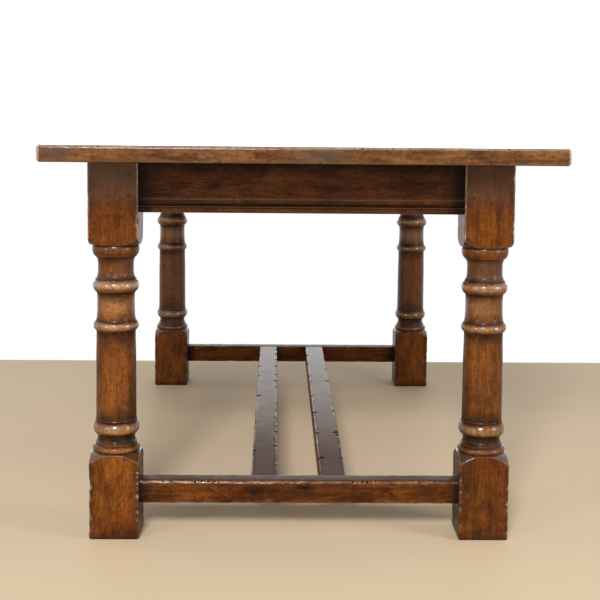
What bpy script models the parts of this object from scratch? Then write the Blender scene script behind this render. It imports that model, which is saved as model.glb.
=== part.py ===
"""Oak refectory table: a cleated plank top on a joined frame.

Four legs are turned between square blocks. Moulded rails tie their heads, and near the floor two cross
stretchers carry a pair of long stretchers. Every rail and stretcher has a tenon in a mortise, held by
oak pegs, and buttons with screws hold the top down.
Metres, +Z up. The origin is on the floor under the table's centre; +X runs across and +Y along the table.
"""

import math

import bmesh
import bpy
from mathutils import Matrix, Vector

# Overall sizes
TABLE_LENGTH = 1.830
TABLE_WIDTH = 0.914
TABLE_HEIGHT = 0.762
END_OVERHANG = 0.209
SIDE_OVERHANG = 0.0555

# Working clearance between any two pieces, and how far a cutter runs past what it cuts
CLEARANCE = 0.0003
OVERRUN = 0.002

# Top
TOP_THICKNESS = 0.030
TOP_ROUND = 0.006
BOARD_WIDTH_SHARES = (0.23, 0.31, 0.22, 0.24)
CLEAT_WIDTH = 0.082
TONGUE_THICKNESS = 0.010
TONGUE_LENGTH = 0.028
TONGUE_STOP = 0.030
CLEAT_PEG_SHARES = (-0.36, 0.0, 0.36)
CLEAT_PEG_TIP = 0.005

# Leg blocks
LEG_SQUARE = 0.095
LEG_ARRIS = 0.0045
FOOT_BLOCK_HEIGHT = 0.164
HEAD_BLOCK_HEIGHT = 0.1685
SHOULDER_DROP = 0.0195

# Turned part of a leg: radii from the foot block upwards, then the height of each member
LEG_SIDES = 24
BLOCK_BEAD_RADIUS = 0.0448
BASE_SEAT_RADIUS = 0.0425
FILLET_RADIUS = 0.0397
FOOT_HOLLOW_RADIUS = 0.0356
RING_RADIUS = 0.0442
COLUMN_FOOT_RADIUS = 0.0387
COLUMN_HEAD_RADIUS = 0.0373
THIN_RING_RADIUS = 0.0435
RING_SEAT_RADIUS = 0.0380
UPPER_COLUMN_RADIUS = 0.0358
NECK_RADIUS = 0.0337
BASE_BEAD_HEIGHT = 0.0125
FILLET_HEIGHT = 0.0055
FOOT_HOLLOW_HEIGHT = 0.0180
FOOT_RING_HEIGHT = 0.0230
RING_FILLET_HEIGHT = 0.0040
THIN_RING_HEIGHT = 0.0185
UPPER_COLUMN_HEIGHT = 0.0550
GREAT_RING_HEIGHT = 0.0240
NECK_HEIGHT = 0.0405
CAP_BEAD_HEIGHT = 0.0250

# Rails under the top, with a bead, a reed and a sunk band run along their lower edge
RAIL_HEIGHT = 0.104
RAIL_THICKNESS = 0.028
RAIL_SETBACK = 0.012
RAIL_BEAD_HEIGHT = 0.0095
RAIL_BEAD_DEPTH = 0.0022
QUIRK_DEPTH = 0.0030
QUIRK_HEIGHT = 0.0012
REED_HEIGHT = 0.0034
REED_DEPTH = 0.0012
BAND_HEIGHT = 0.0092
BAND_DEPTH = 0.0012
RAIL_TENON_THICKNESS = 0.012
RAIL_TENON_SHOULDER = 0.012
TENON_SPACING = 0.007
RAIL_PEG_SHARES = (0.25, 0.75)

# Stretchers
STRETCHER_TOP = 0.111
STRETCHER_HEIGHT = 0.046
STRETCHER_ARRIS = 0.005
CROSS_STRETCHER_WIDTH = 0.045
CROSS_STRETCHER_SETBACK = 0.018
LONG_STRETCHER_WIDTH = 0.052
LONG_STRETCHER_SPACING = 0.135
CROSS_TENON_THICKNESS = 0.016
CROSS_TENON_LENGTH = 0.050
CROSS_TENON_SHOULDER = 0.005
LONG_TENON_THICKNESS = 0.014
LONG_TENON_SHOULDER = 0.006
LONG_MORTISE_WALL = 0.011

# Pegs
PEG_RADIUS = 0.0045
PEG_INSET = 0.016
PEG_HOLD = 0.010
PEG_TAPER = 0.006
PEG_SIDES = 10

# Buttons and screws that hold the top down
BUTTON_LENGTH = 0.045
BUTTON_WIDTH = 0.030
BUTTON_THICKNESS = 0.022
BUTTON_TONGUE_THICKNESS = 0.009
BUTTON_TONGUE_LENGTH = 0.010
BUTTON_PLAY = 0.003
SIDE_BUTTON_SHARES = (-0.27, 0.27)
SCREW_RADIUS = 0.0021
SCREW_HEAD_RADIUS = 0.0042
SCREW_HEAD_HEIGHT = 0.0030
SCREW_TIP = 0.0040
SCREW_BITE = 0.015
SCREW_SIDES = 10

# Finishes: base colour, roughness, metallic
FINISHES = {
    "top_oak": ((0.230, 0.095, 0.038), 0.32, 0.0),
    "leg_oak": ((0.150, 0.050, 0.016), 0.30, 0.0),
    "rail_oak": ((0.075, 0.028, 0.012), 0.34, 0.0),
    "stretcher_oak": ((0.110, 0.036, 0.016), 0.30, 0.0),
    "peg_oak": ((0.060, 0.024, 0.010), 0.40, 0.0),
    "button_oak": ((0.200, 0.110, 0.055), 0.60, 0.0),
    "screw_steel": ((0.300, 0.280, 0.250), 0.45, 1.0),
}

UNDERSIDE = TABLE_HEIGHT - TOP_THICKNESS
LEG_HEIGHT = UNDERSIDE - CLEARANCE
LEG_X = TABLE_WIDTH / 2 - SIDE_OVERHANG - LEG_SQUARE / 2
LEG_Y = TABLE_LENGTH / 2 - END_OVERHANG - LEG_SQUARE / 2
RAIL_BOTTOM = LEG_HEIGHT - RAIL_HEIGHT
STRETCHER_BOTTOM = STRETCHER_TOP - STRETCHER_HEIGHT
# From the table's centre along it to the middle of a cross stretcher
CROSS_Y = LEG_Y + LEG_SQUARE / 2 - CROSS_STRETCHER_SETBACK - CROSS_STRETCHER_WIDTH / 2
# A rail's tenon stops short of the other rail's, which crosses the same leg nearer its outer face
RAIL_TENON_LENGTH = (
    LEG_SQUARE - RAIL_SETBACK - (RAIL_THICKNESS + RAIL_TENON_THICKNESS) / 2 - TENON_SPACING
)
HOME = Matrix.Identity(4)


def clear_scene():
    for old in list(bpy.data.objects):
        bpy.data.objects.remove(old, do_unlink=True)


def finish_material(finish):
    """The finish's material, made the first time that it is asked for."""
    found = bpy.data.materials.get(finish)
    if found:
        return found
    colour, roughness, metallic = FINISHES[finish]
    made = bpy.data.materials.new(finish)
    made.use_nodes = True
    shader = made.node_tree.nodes["Principled BSDF"]
    shader.inputs["Base Color"].default_value = (*colour, 1.0)
    shader.inputs["Roughness"].default_value = roughness
    shader.inputs["Metallic"].default_value = metallic
    made.diffuse_color = (*colour, 1.0)
    return made


def add_object(name, mesh, frame, finish=None):
    """An object placed by a frame; with no finish it is a cutter or a tenon that a Boolean uses."""
    made = bpy.data.objects.new(name, mesh)
    bpy.context.scene.collection.objects.link(made)
    made.matrix_world = frame
    if finish:
        mesh.materials.append(finish_material(finish))
    else:
        made.hide_render = True
        made.display_type = "WIRE"
    return made


def mesh_from(name, shape):
    bmesh.ops.recalc_face_normals(shape, faces=shape.faces[:])
    mesh = bpy.data.meshes.new(name)
    shape.to_mesh(mesh)
    shape.free()
    return mesh


def box(name, low, high, frame, finish=None, rounds=None, radius=0.0):
    """A box between two corners of a frame, its origin at its centre. rounds picks the edges to round."""
    low, high = Vector(low), Vector(high)
    centre, size = (low + high) / 2, high - low
    shape = bmesh.new()
    bmesh.ops.create_cube(shape, size=1.0, matrix=Matrix.Diagonal((*size, 1.0)))
    if rounds:
        picked = [e for e in shape.edges if rounds((e.verts[0].co + e.verts[1].co) / 2, size)]
        bmesh.ops.bevel(shape, geom=picked, offset=radius, segments=2, profile=0.5, affect="EDGES")
    return add_object(name, mesh_from(name, shape), frame @ Matrix.Translation(centre), finish)


def prism(name, outline, start, stop, frame, finish):
    """An outline in the frame's Y and Z, extruded along its X."""
    shape = bmesh.new()
    face = shape.faces.new([shape.verts.new((start, y, z)) for y, z in outline])
    grown = bmesh.ops.extrude_face_region(shape, geom=[face])
    moved = [v for v in grown["geom"] if isinstance(v, bmesh.types.BMVert)]
    bmesh.ops.translate(shape, verts=moved, vec=(stop - start, 0, 0))
    return add_object(name, mesh_from(name, shape), frame, finish)


def turned(name, profile, sides, frame, finish=None):
    """A profile of (radius, height) points, from one pole to the other, spun about the frame's Z."""
    shape = bmesh.new()
    line = [shape.verts.new((radius, 0, height)) for radius, height in profile]
    edges = [shape.edges.new(pair) for pair in zip(line, line[1:])]
    bmesh.ops.spin(
        shape, geom=line + edges, cent=(0, 0, 0), axis=(0, 0, 1), angle=math.tau, steps=sides, use_merge=True
    )
    bmesh.ops.remove_doubles(shape, verts=shape.verts[:], dist=CLEARANCE / 100)
    mesh = mesh_from(name, shape)
    mesh.shade_smooth()
    mesh.set_sharp_from_angle(angle=math.radians(40))
    return add_object(name, mesh, frame, finish)


class Outline:
    """Points of an outline, added upwards: how far out each one is, and how high."""

    def __init__(self, *start):
        self.points = list(start)

    def to(self, out, rise=0.0):
        height = self.points[-1][1]
        self.points.append((out, height + rise))

    def arch(self, rise, seat, crest, steps, share=1.0):
        """Half an ellipse between two seats, a bead or a hollow. A share of 0.5 stops it at its crest."""
        start = self.points[-1][1]
        first = 1 if math.isclose(self.points[-1][0], seat) else 0
        for step in range(first, steps + 1):
            angle = math.pi * share * step / steps
            out = seat + (crest - seat) * math.sin(angle)
            self.points.append((out, start + rise * (1 - math.cos(angle)) / 2))


def combine(target, other, operation):
    """Adds a shape to a piece's Boolean for an operation, which takes all of its shapes at once."""
    step = target.modifiers.get(operation)
    if not step:
        step = target.modifiers.new(operation, "BOOLEAN")
        step.operation = operation
        step.solver = "EXACT"
        step.operand_type = "COLLECTION"
        step.collection = bpy.data.collections.new(f"{target.name}_{operation.lower()}")
    step.collection.objects.link(other)


def facing(direction, place):
    """A frame at a place whose Z points along a direction."""
    turn = Vector(direction).to_track_quat("Z", "Y").to_matrix().to_4x4()
    return Matrix.Translation(place) @ turn


def leg_profile():
    """The turned blank from the floor up. Where it is wider than the square, the block stays square."""
    half = LEG_SQUARE / 2
    corner = (half - LEG_ARRIS) * math.sqrt(2) + LEG_ARRIS
    wide = half * math.sqrt(2) + OVERRUN
    drop = SHOULDER_DROP * (wide - half) / (corner - half)
    line = Outline((0, -OVERRUN), (wide, -OVERRUN), (wide, FOOT_BLOCK_HEIGHT - drop))
    line.points.append((half, FOOT_BLOCK_HEIGHT))
    line.arch(BASE_BEAD_HEIGHT, BASE_SEAT_RADIUS, BLOCK_BEAD_RADIUS, 4)
    line.to(FILLET_RADIUS)
    line.to(FILLET_RADIUS, FILLET_HEIGHT)
    line.arch(FOOT_HOLLOW_HEIGHT, FILLET_RADIUS, FOOT_HOLLOW_RADIUS, 4)
    line.arch(FOOT_RING_HEIGHT, FILLET_RADIUS, RING_RADIUS, 4)
    line.to(COLUMN_FOOT_RADIUS, RING_FILLET_HEIGHT)
    column_top = LEG_HEIGHT - HEAD_BLOCK_HEIGHT - CAP_BEAD_HEIGHT - NECK_HEIGHT
    column_top -= GREAT_RING_HEIGHT + UPPER_COLUMN_HEIGHT + THIN_RING_HEIGHT
    line.to(COLUMN_HEAD_RADIUS, column_top - line.points[-1][1])
    line.arch(THIN_RING_HEIGHT, RING_SEAT_RADIUS, THIN_RING_RADIUS, 4)
    line.arch(UPPER_COLUMN_HEIGHT, RING_SEAT_RADIUS, UPPER_COLUMN_RADIUS, 4)
    line.arch(GREAT_RING_HEIGHT, RING_SEAT_RADIUS, RING_RADIUS, 4)
    line.arch(NECK_HEIGHT, RING_SEAT_RADIUS, NECK_RADIUS, 4)
    line.arch(2 * CAP_BEAD_HEIGHT, RING_SEAT_RADIUS, BLOCK_BEAD_RADIUS, 3, share=0.5)
    line.to(half)
    line.to(wide, drop)
    return line.points + [(wide, LEG_HEIGHT + OVERRUN), (0, LEG_HEIGHT + OVERRUN)]


def leg(name, frame):
    """A square post, its arrises and its foot eased, turned down to the profile between its blocks."""
    half = LEG_SQUARE / 2

    def eased(middle, size):
        return middle.z < size.z / 4

    post = box(name, (-half, -half, 0), (half, half, LEG_HEIGHT), frame, "leg_oak", eased, LEG_ARRIS)
    # Half a side's turn, so that a flat of the turning and not a corner meets each face of the post
    turn = Matrix.Rotation(math.pi / LEG_SIDES, 4, "Z")
    combine(post, turned(name + "_turning", leg_profile(), LEG_SIDES, frame @ turn), "INTERSECT")
    return post


def peg(name, frame, length, held):
    """A round peg flush with a surface at the frame's origin and driven in along -Z, and its holes."""
    profile = [(0, -length), (PEG_RADIUS / 2, -length), (PEG_RADIUS, PEG_TAPER - length)]
    profile += [(PEG_RADIUS, 0), (0, 0)]
    turned(name, profile, PEG_SIDES, frame, "peg_oak")
    wide, bottom = PEG_RADIUS + CLEARANCE, -length - CLEARANCE
    hole = [(0, bottom), (wide, bottom), (wide, OVERRUN), (0, OVERRUN)]
    cutter = turned(name + "_hole", hole, PEG_SIDES, frame)
    for piece in held:
        combine(piece, cutter, "DIFFERENCE")


def tenon(tag, piece, low, high, frame, mortised):
    """Joins a tenon to a piece, and cuts its mortise in another."""
    combine(piece, box(tag + "_tenon", low, high, frame), "UNION")
    room = Vector((CLEARANCE, CLEARANCE, CLEARANCE))
    combine(mortised, box(tag + "_mortise", Vector(low) - room, Vector(high) + room, frame), "DIFFERENCE")


def rail_outline():
    """Section of a rail: Y inwards from its face, and Z up from its lower edge along the run moulding."""
    line = Outline((RAIL_THICKNESS, 0), (RAIL_BEAD_DEPTH, 0))
    line.arch(RAIL_BEAD_HEIGHT, RAIL_BEAD_DEPTH, 0, 4)
    line.to(QUIRK_DEPTH)
    line.to(REED_DEPTH, QUIRK_HEIGHT)
    line.to(REED_DEPTH, REED_HEIGHT)
    line.to(QUIRK_DEPTH, QUIRK_HEIGHT)
    line.to(BAND_DEPTH)
    line.to(BAND_DEPTH, BAND_HEIGHT)
    line.to(0, BAND_DEPTH)
    return line.points + [(0, RAIL_HEIGHT), (RAIL_THICKNESS, RAIL_HEIGHT)]


def rail(name, frame, shoulder, legs, peg_tags, buttons):
    """A rail along the frame's X between two legs; the frame's origin is on the legs' outer face."""
    run = shoulder - CLEARANCE
    seat = frame @ Matrix.Translation((0, RAIL_SETBACK, RAIL_BOTTOM))
    made = prism(name, rail_outline(), -run, run, seat, "rail_oak")
    middle = RAIL_SETBACK + RAIL_THICKNESS / 2
    near, far = middle - RAIL_TENON_THICKNESS / 2, middle + RAIL_TENON_THICKNESS / 2
    low, high = RAIL_BOTTOM + RAIL_TENON_SHOULDER, LEG_HEIGHT - RAIL_TENON_SHOULDER
    for side, post, tag in zip((-1, 1), legs, peg_tags):
        ends = sorted((side * (run - OVERRUN), side * (shoulder + RAIL_TENON_LENGTH)))
        tenon(f"{name}_{tag}", made, (ends[0], near, low), (ends[1], far, high), frame, post)
        for share, level in zip(RAIL_PEG_SHARES, ("lower", "upper")):
            place = (side * (shoulder + PEG_INSET), 0, low + (high - low) * share)
            peg(f"{tag}_{level}", frame @ facing((0, -1, 0), place), far + PEG_HOLD, [post, made])
    for tag, along in buttons:
        button(tag, frame @ Matrix.Translation((along, RAIL_SETBACK + RAIL_THICKNESS, UNDERSIDE)), made)


def boards_at(x, reach):
    """The top boards that come within reach of a place across the table."""
    found = []
    for board in bpy.data.objects:
        if board.name.startswith("top_board") and not board.hide_render:
            if abs(board.matrix_world.translation.x - x) < board.dimensions.x / 2 + reach:
                found.append(board)
    return found


def button(tag, frame, held_rail):
    """A wooden button: its tongue sits in a slot of the rail, and its screw draws the top down."""
    half, top, bottom = BUTTON_WIDTH / 2, -CLEARANCE, -CLEARANCE - BUTTON_THICKNESS
    made = box(f"button_{tag}", (-half, CLEARANCE, bottom), (half, BUTTON_LENGTH, top), frame, "button_oak")
    tongue_low = (-half, -BUTTON_TONGUE_LENGTH, bottom)
    tongue_high = (half, OVERRUN, bottom + BUTTON_TONGUE_THICKNESS)
    combine(made, box(f"button_{tag}_tongue", tongue_low, tongue_high, frame), "UNION")
    wide = half + BUTTON_PLAY
    slot_low = (-wide, -BUTTON_TONGUE_LENGTH - BUTTON_PLAY, bottom - CLEARANCE)
    slot_high = (wide, OVERRUN, bottom + BUTTON_TONGUE_THICKNESS + CLEARANCE)
    combine(held_rail, box(f"button_{tag}_slot", slot_low, slot_high, frame), "DIFFERENCE")
    seat = frame @ Matrix.Translation((0, BUTTON_LENGTH / 2, bottom))
    reach = BUTTON_THICKNESS + SCREW_BITE
    profile = [(0, 0), (SCREW_HEAD_RADIUS, 0), (SCREW_RADIUS, SCREW_HEAD_HEIGHT)]
    profile += [(SCREW_RADIUS, reach - SCREW_TIP), (0, reach)]
    turned(f"screw_{tag}", profile, SCREW_SIDES, seat, "screw_steel")
    head, shank = SCREW_HEAD_RADIUS + CLEARANCE, SCREW_RADIUS + CLEARANCE
    hole = [(0, -OVERRUN), (head, -OVERRUN), (head, CLEARANCE), (shank, SCREW_HEAD_HEIGHT + CLEARANCE)]
    hole += [(shank, reach + CLEARANCE), (0, reach + CLEARANCE)]
    cutter = turned(f"screw_{tag}_hole", hole, SCREW_SIDES, seat)
    for piece in [made, *boards_at(seat.translation.x, shank)]:
        combine(piece, cutter, "DIFFERENCE")


def cross_stretcher(name, frame, legs, peg_tags):
    """A low stretcher along the frame's X between two legs; the frame's origin is on their outer face."""
    shoulder = LEG_X - LEG_SQUARE / 2
    middle, half = CROSS_STRETCHER_SETBACK + CROSS_STRETCHER_WIDTH / 2, CROSS_STRETCHER_WIDTH / 2
    low = (CLEARANCE - shoulder, middle - half, STRETCHER_BOTTOM)
    high = (shoulder - CLEARANCE, middle + half, STRETCHER_TOP)

    def along(centre, size):
        return abs(centre.x) < size.x / 4

    made = box(name, low, high, frame, "stretcher_oak", along, STRETCHER_ARRIS)
    near, far = middle - CROSS_TENON_THICKNESS / 2, middle + CROSS_TENON_THICKNESS / 2
    for side, post, tag in zip((-1, 1), legs, peg_tags):
        ends = sorted((side * (shoulder - OVERRUN), side * (shoulder + CROSS_TENON_LENGTH)))
        tenon_low = (ends[0], near, STRETCHER_BOTTOM + CROSS_TENON_SHOULDER)
        tenon_high = (ends[1], far, STRETCHER_TOP - CROSS_TENON_SHOULDER)
        tenon(f"{name}_{tag}", made, tenon_low, tenon_high, frame, post)
        place = (side * (shoulder + PEG_INSET), 0, STRETCHER_TOP - STRETCHER_HEIGHT / 2)
        peg(tag, frame @ facing((0, -1, 0), place), far + PEG_HOLD, [post, made])
    return made


def long_stretcher(name, side, crosses):
    """A stretcher along the table, level with the cross stretchers and tenoned between them."""
    across, half = side * LONG_STRETCHER_SPACING / 2, LONG_STRETCHER_WIDTH / 2
    inner = CROSS_Y - CROSS_STRETCHER_WIDTH / 2
    shoulder = inner - CLEARANCE

    def along(centre, size):
        return abs(centre.y) < size.y / 4

    low, high = (across - half, -shoulder, STRETCHER_BOTTOM), (across + half, shoulder, STRETCHER_TOP)
    made = box(name, low, high, HOME, "stretcher_oak", along, STRETCHER_ARRIS)
    middle = STRETCHER_BOTTOM + STRETCHER_HEIGHT / 2
    wide, thick = half - LONG_TENON_SHOULDER, LONG_TENON_THICKNESS / 2
    reach = CROSS_STRETCHER_WIDTH - LONG_MORTISE_WALL
    for end, (where, cross) in zip((-1, 1), crosses.items()):
        ends = sorted((end * (shoulder - OVERRUN), end * (inner + reach)))
        tenon_low = (across - wide, ends[0], middle - thick)
        tenon_high = (across + wide, ends[1], middle + thick)
        tenon(f"{name}_{where}", made, tenon_low, tenon_high, HOME, cross)
        place = (across, end * (inner + PEG_INSET), STRETCHER_TOP)
        length = STRETCHER_HEIGHT / 2 + thick + PEG_HOLD / 2
        peg(f"peg_{name}_{where}", facing((0, 0, 1), place), length, [cross, made])


def boards():
    """Edge-jointed boards along the table, tongued at both ends; the outer two have a rounded long edge."""
    end = TABLE_LENGTH / 2 - CLEAT_WIDTH - CLEARANCE
    middle = TABLE_HEIGHT - TOP_THICKNESS / 2
    tongue_edge = TABLE_WIDTH / 2 - TONGUE_STOP
    left = -TABLE_WIDTH / 2
    for number, share in enumerate(BOARD_WIDTH_SHARES, 1):
        right = left + TABLE_WIDTH * share
        first, last = number == 1, number == len(BOARD_WIDTH_SHARES)
        low = (left if first else left + CLEARANCE / 2, -end, UNDERSIDE)
        high = (right if last else right - CLEARANCE / 2, end, TABLE_HEIGHT)
        outer = int(last) - int(first)

        def outside(centre, size, outer=outer):
            return centre.x * outer > size.x / 4 and abs(centre.y) < size.y / 4

        board = box(f"top_board_{number}", low, high, HOME, "top_oak", outside, TOP_ROUND)
        for side, where in ((-1, "front"), (1, "back")):
            ends = sorted((side * (end - OVERRUN), side * (end + TONGUE_LENGTH)))
            tongue_low = (max(low[0], -tongue_edge), ends[0], middle - TONGUE_THICKNESS / 2)
            tongue_high = (min(high[0], tongue_edge), ends[1], middle + TONGUE_THICKNESS / 2)
            combine(board, box(f"{board.name}_tongue_{where}", tongue_low, tongue_high, HOME), "UNION")
        left = right
    bpy.context.view_layer.update()


def cleat(name, turn):
    """The end cap of the top, grooved for the boards' tongues and pegged through them."""
    frame = turn @ Matrix.Translation((0, -TABLE_LENGTH / 2, 0))
    half = TABLE_WIDTH / 2

    def outside(centre, size):
        return centre.y < -size.y / 4 or (abs(centre.x) > size.x / 4 and abs(centre.y) < size.y / 4)

    low, high = (-half, 0, UNDERSIDE), (half, CLEAT_WIDTH, TABLE_HEIGHT)
    made = box(name, low, high, frame, "top_oak", outside, TOP_ROUND)
    middle, inner = TABLE_HEIGHT - TOP_THICKNESS / 2, CLEAT_WIDTH - TONGUE_LENGTH
    edge, thick = half - TONGUE_STOP + CLEARANCE, TONGUE_THICKNESS / 2 + CLEARANCE
    groove_low = (-edge, inner - CLEARANCE, middle - thick)
    groove_high = (edge, CLEAT_WIDTH + OVERRUN, middle + thick)
    combine(made, box(name + "_groove", groove_low, groove_high, frame), "DIFFERENCE")
    for share, place in zip(CLEAT_PEG_SHARES, ("left", "centre", "right")):
        across = TABLE_WIDTH * share
        where = frame @ facing((0, 0, 1), (across, inner + TONGUE_LENGTH / 2, TABLE_HEIGHT))
        held = [made, *boards_at(where.translation.x, PEG_RADIUS + CLEARANCE)]
        peg(f"peg_{name}_{place}", where, TOP_THICKNESS - CLEAT_PEG_TIP, held)


def build_table():
    clear_scene()
    boards()
    about = {"front": HOME, "back": Matrix.Rotation(math.pi, 4, "Z")}
    legs = {}
    for y, end in ((-1, "front"), (1, "back")):
        for x, side in ((-1, "left"), (1, "right")):
            legs[end, side] = leg(f"leg_{end}_{side}", Matrix.Translation((x * LEG_X, y * LEG_Y, 0)))
    end_face, side_face = LEG_Y + LEG_SQUARE / 2, LEG_X + LEG_SQUARE / 2
    crosses = {}
    for end, turn in about.items():
        cleat(f"cleat_{end}", turn)
        frame = turn @ Matrix.Translation((0, -end_face, 0))
        sides = ("left", "right") if end == "front" else ("right", "left")
        posts = [legs[end, side] for side in sides]
        tags = [f"peg_rail_{end}_{side}" for side in sides]
        rail(f"end_rail_{end}", frame, LEG_X - LEG_SQUARE / 2, posts, tags, [(end, 0)])
        tags = [f"peg_stretcher_{end}_{side}" for side in sides]
        crosses[end] = cross_stretcher(f"cross_stretcher_{end}", frame, posts, tags)
    for x, side in ((-1, "left"), (1, "right")):
        frame = Matrix.Rotation(x * math.pi / 2, 4, "Z") @ Matrix.Translation((0, -side_face, 0))
        ends = ("back", "front") if x < 0 else ("front", "back")
        posts = [legs[end, side] for end in ends]
        tags = [f"peg_rail_{side}_{end}" for end in ends]
        spots = [(f"{side}_{end}", TABLE_LENGTH * s) for s, end in zip(SIDE_BUTTON_SHARES, ends)]
        rail(f"side_rail_{side}", frame, LEG_Y - LEG_SQUARE / 2, posts, tags, spots)
        long_stretcher(f"long_stretcher_{side}", x, crosses)


build_table()
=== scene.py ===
"""Looks of an oak refectory table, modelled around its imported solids.

Each solid gets a finer piece in its place: turned legs with worn arrises, moulded rails, battered
stretchers, and a cleated plank top. Every piece has a stained and waxed oak made of nodes. Metres, +Z up;
+X runs across the table and +Y along it. Run as a script, it builds the table and the studio round it.
"""

import math
import random
from functools import reduce
from typing import NamedTuple

import bmesh
import bpy
import numpy as np
from mathutils import Euler, Matrix, Vector, noise


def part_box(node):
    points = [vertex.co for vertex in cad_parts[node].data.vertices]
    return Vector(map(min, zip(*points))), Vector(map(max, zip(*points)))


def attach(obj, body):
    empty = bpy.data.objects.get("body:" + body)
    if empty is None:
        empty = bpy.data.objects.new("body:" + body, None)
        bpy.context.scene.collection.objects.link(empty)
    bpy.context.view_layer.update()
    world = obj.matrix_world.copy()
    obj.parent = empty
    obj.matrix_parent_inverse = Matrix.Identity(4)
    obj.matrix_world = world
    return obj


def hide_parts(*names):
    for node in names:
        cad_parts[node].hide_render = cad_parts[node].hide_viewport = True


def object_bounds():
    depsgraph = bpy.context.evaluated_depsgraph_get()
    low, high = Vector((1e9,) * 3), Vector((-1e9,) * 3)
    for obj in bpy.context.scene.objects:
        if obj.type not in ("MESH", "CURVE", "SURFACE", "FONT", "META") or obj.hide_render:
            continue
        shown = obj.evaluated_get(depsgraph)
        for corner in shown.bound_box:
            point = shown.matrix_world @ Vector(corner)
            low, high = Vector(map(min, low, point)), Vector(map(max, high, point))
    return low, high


bl_info = {
    "name": "Oak refectory table",
    "version": (1, 0, 0),
    "blender": (4, 5, 0),
    "location": "View3D > Sidebar > Table",
    "description": "Builds a turned oak refectory table and a plain studio round it",
    "category": "Add Mesh",
}

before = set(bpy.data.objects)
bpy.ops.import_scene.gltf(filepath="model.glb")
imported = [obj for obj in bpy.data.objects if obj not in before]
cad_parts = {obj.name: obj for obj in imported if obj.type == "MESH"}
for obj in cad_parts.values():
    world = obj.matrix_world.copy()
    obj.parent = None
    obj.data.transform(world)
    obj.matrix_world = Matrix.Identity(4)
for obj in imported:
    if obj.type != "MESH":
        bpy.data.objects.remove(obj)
CAD_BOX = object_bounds()
ROOT = "root"

ENDS = {"front": -1, "back": 1}
SIDES = {"left": -1, "right": 1}
# The axes, as places in a point's coordinates
X, Y, Z = AXES = (0, 1, 2)


def corner_of(node):
    """Lowest and highest corner of a solid, as plain vectors."""
    low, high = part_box(node)
    return Vector(low), Vector(high)


LEG_LOW, LEG_HIGH = corner_of("leg_front_right")
LEG_CENTRE = (LEG_LOW + LEG_HIGH) / 2
LEG_SQUARE = LEG_HIGH.x - LEG_LOW.x
LEG_HEIGHT = LEG_HIGH.z
RAIL_LOW, RAIL_HIGH = corner_of("end_rail_front")
HALF_LENGTH = CAD_BOX[1][1]
# Rails and stretchers run a little into what they meet, because its faces are worn
INTO_LEG = 0.0015
INTO_CROSS = 0.0040
END_HALF_RUN = LEG_CENTRE.x - LEG_SQUARE / 2 + INTO_LEG
SIDE_HALF_RUN = -LEG_CENTRE.y - LEG_SQUARE / 2 + INTO_LEG
# From the middle of a leg's face to its arris, as an angle
EIGHTH_TURN = math.pi / 4

# Heights where the turning meets a leg's square blocks, how far their shoulders reach into it, and the
# radius of the round blank that a leg is planed from
SHOULDER_LOW = 0.1435
SHOULDER_HIGH = 0.5855
SHOULDER_REACH = 0.022
BLANK_RADIUS = 0.0695
# The turned outline, from the foot block's shoulder up to the head block's: height, radius in metres.
# A corner in the outline is written as two points at nearly the same height.
TURNING = (
    (0.1430, 0.0695), (0.1468, 0.0672), (0.1505, 0.0640), (0.1545, 0.0600), (0.1590, 0.0550),
    (0.1620, 0.0515), (0.1635, 0.0480), (0.1646, 0.0450), (0.1652, 0.0436), (0.1658, 0.0443),
    (0.1678, 0.0452), (0.1705, 0.0455), (0.1735, 0.0447), (0.1758, 0.0431), (0.1768, 0.0418),
    (0.1771, 0.0402), (0.1780, 0.0399), (0.1818, 0.0397), (0.1824, 0.0389), (0.1838, 0.0374),
    (0.1868, 0.0361), (0.1905, 0.0356), (0.1940, 0.0360), (0.1968, 0.0371), (0.1984, 0.0383),
    (0.1990, 0.0392), (0.2000, 0.0404), (0.2024, 0.0424), (0.2060, 0.0438), (0.2105, 0.0443),
    (0.2150, 0.0435), (0.2192, 0.0417), (0.2215, 0.0401), (0.2222, 0.0394), (0.2230, 0.0397),
    (0.2262, 0.0396), (0.2268, 0.0388), (0.2300, 0.0386), (0.2560, 0.0385), (0.3000, 0.0383),
    (0.3445, 0.0382), (0.3600, 0.0379), (0.3760, 0.0375), (0.3900, 0.0373), (0.3972, 0.0375),
    (0.3992, 0.0381), (0.3998, 0.0392), (0.4015, 0.0408), (0.4045, 0.0427), (0.4090, 0.0436),
    (0.4132, 0.0426), (0.4160, 0.0406), (0.4170, 0.0391), (0.4174, 0.0384), (0.4192, 0.0382),
    (0.4198, 0.0376), (0.4225, 0.0370), (0.4275, 0.0363), (0.4400, 0.0360), (0.4560, 0.0358),
    (0.4660, 0.0359), (0.4708, 0.0364), (0.4732, 0.0374), (0.4738, 0.0386), (0.4756, 0.0405),
    (0.4790, 0.0426), (0.4830, 0.0440), (0.4875, 0.0444), (0.4915, 0.0434), (0.4945, 0.0412),
    (0.4957, 0.0396), (0.4962, 0.0391), (0.4988, 0.0389), (0.4994, 0.0380), (0.5014, 0.0366),
    (0.5048, 0.0350), (0.5108, 0.0340), (0.5220, 0.0337), (0.5305, 0.0340), (0.5362, 0.0350),
    (0.5396, 0.0368), (0.5410, 0.0384), (0.5420, 0.0396), (0.5440, 0.0412), (0.5472, 0.0432),
    (0.5518, 0.0445), (0.5565, 0.0450), (0.5605, 0.0445), (0.5632, 0.0436), (0.5640, 0.0444),
    (0.5646, 0.0478), (0.5655, 0.0515), (0.5675, 0.0550), (0.5710, 0.0600), (0.5755, 0.0640),
    (0.5800, 0.0672), (0.5835, 0.0695),
)
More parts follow.
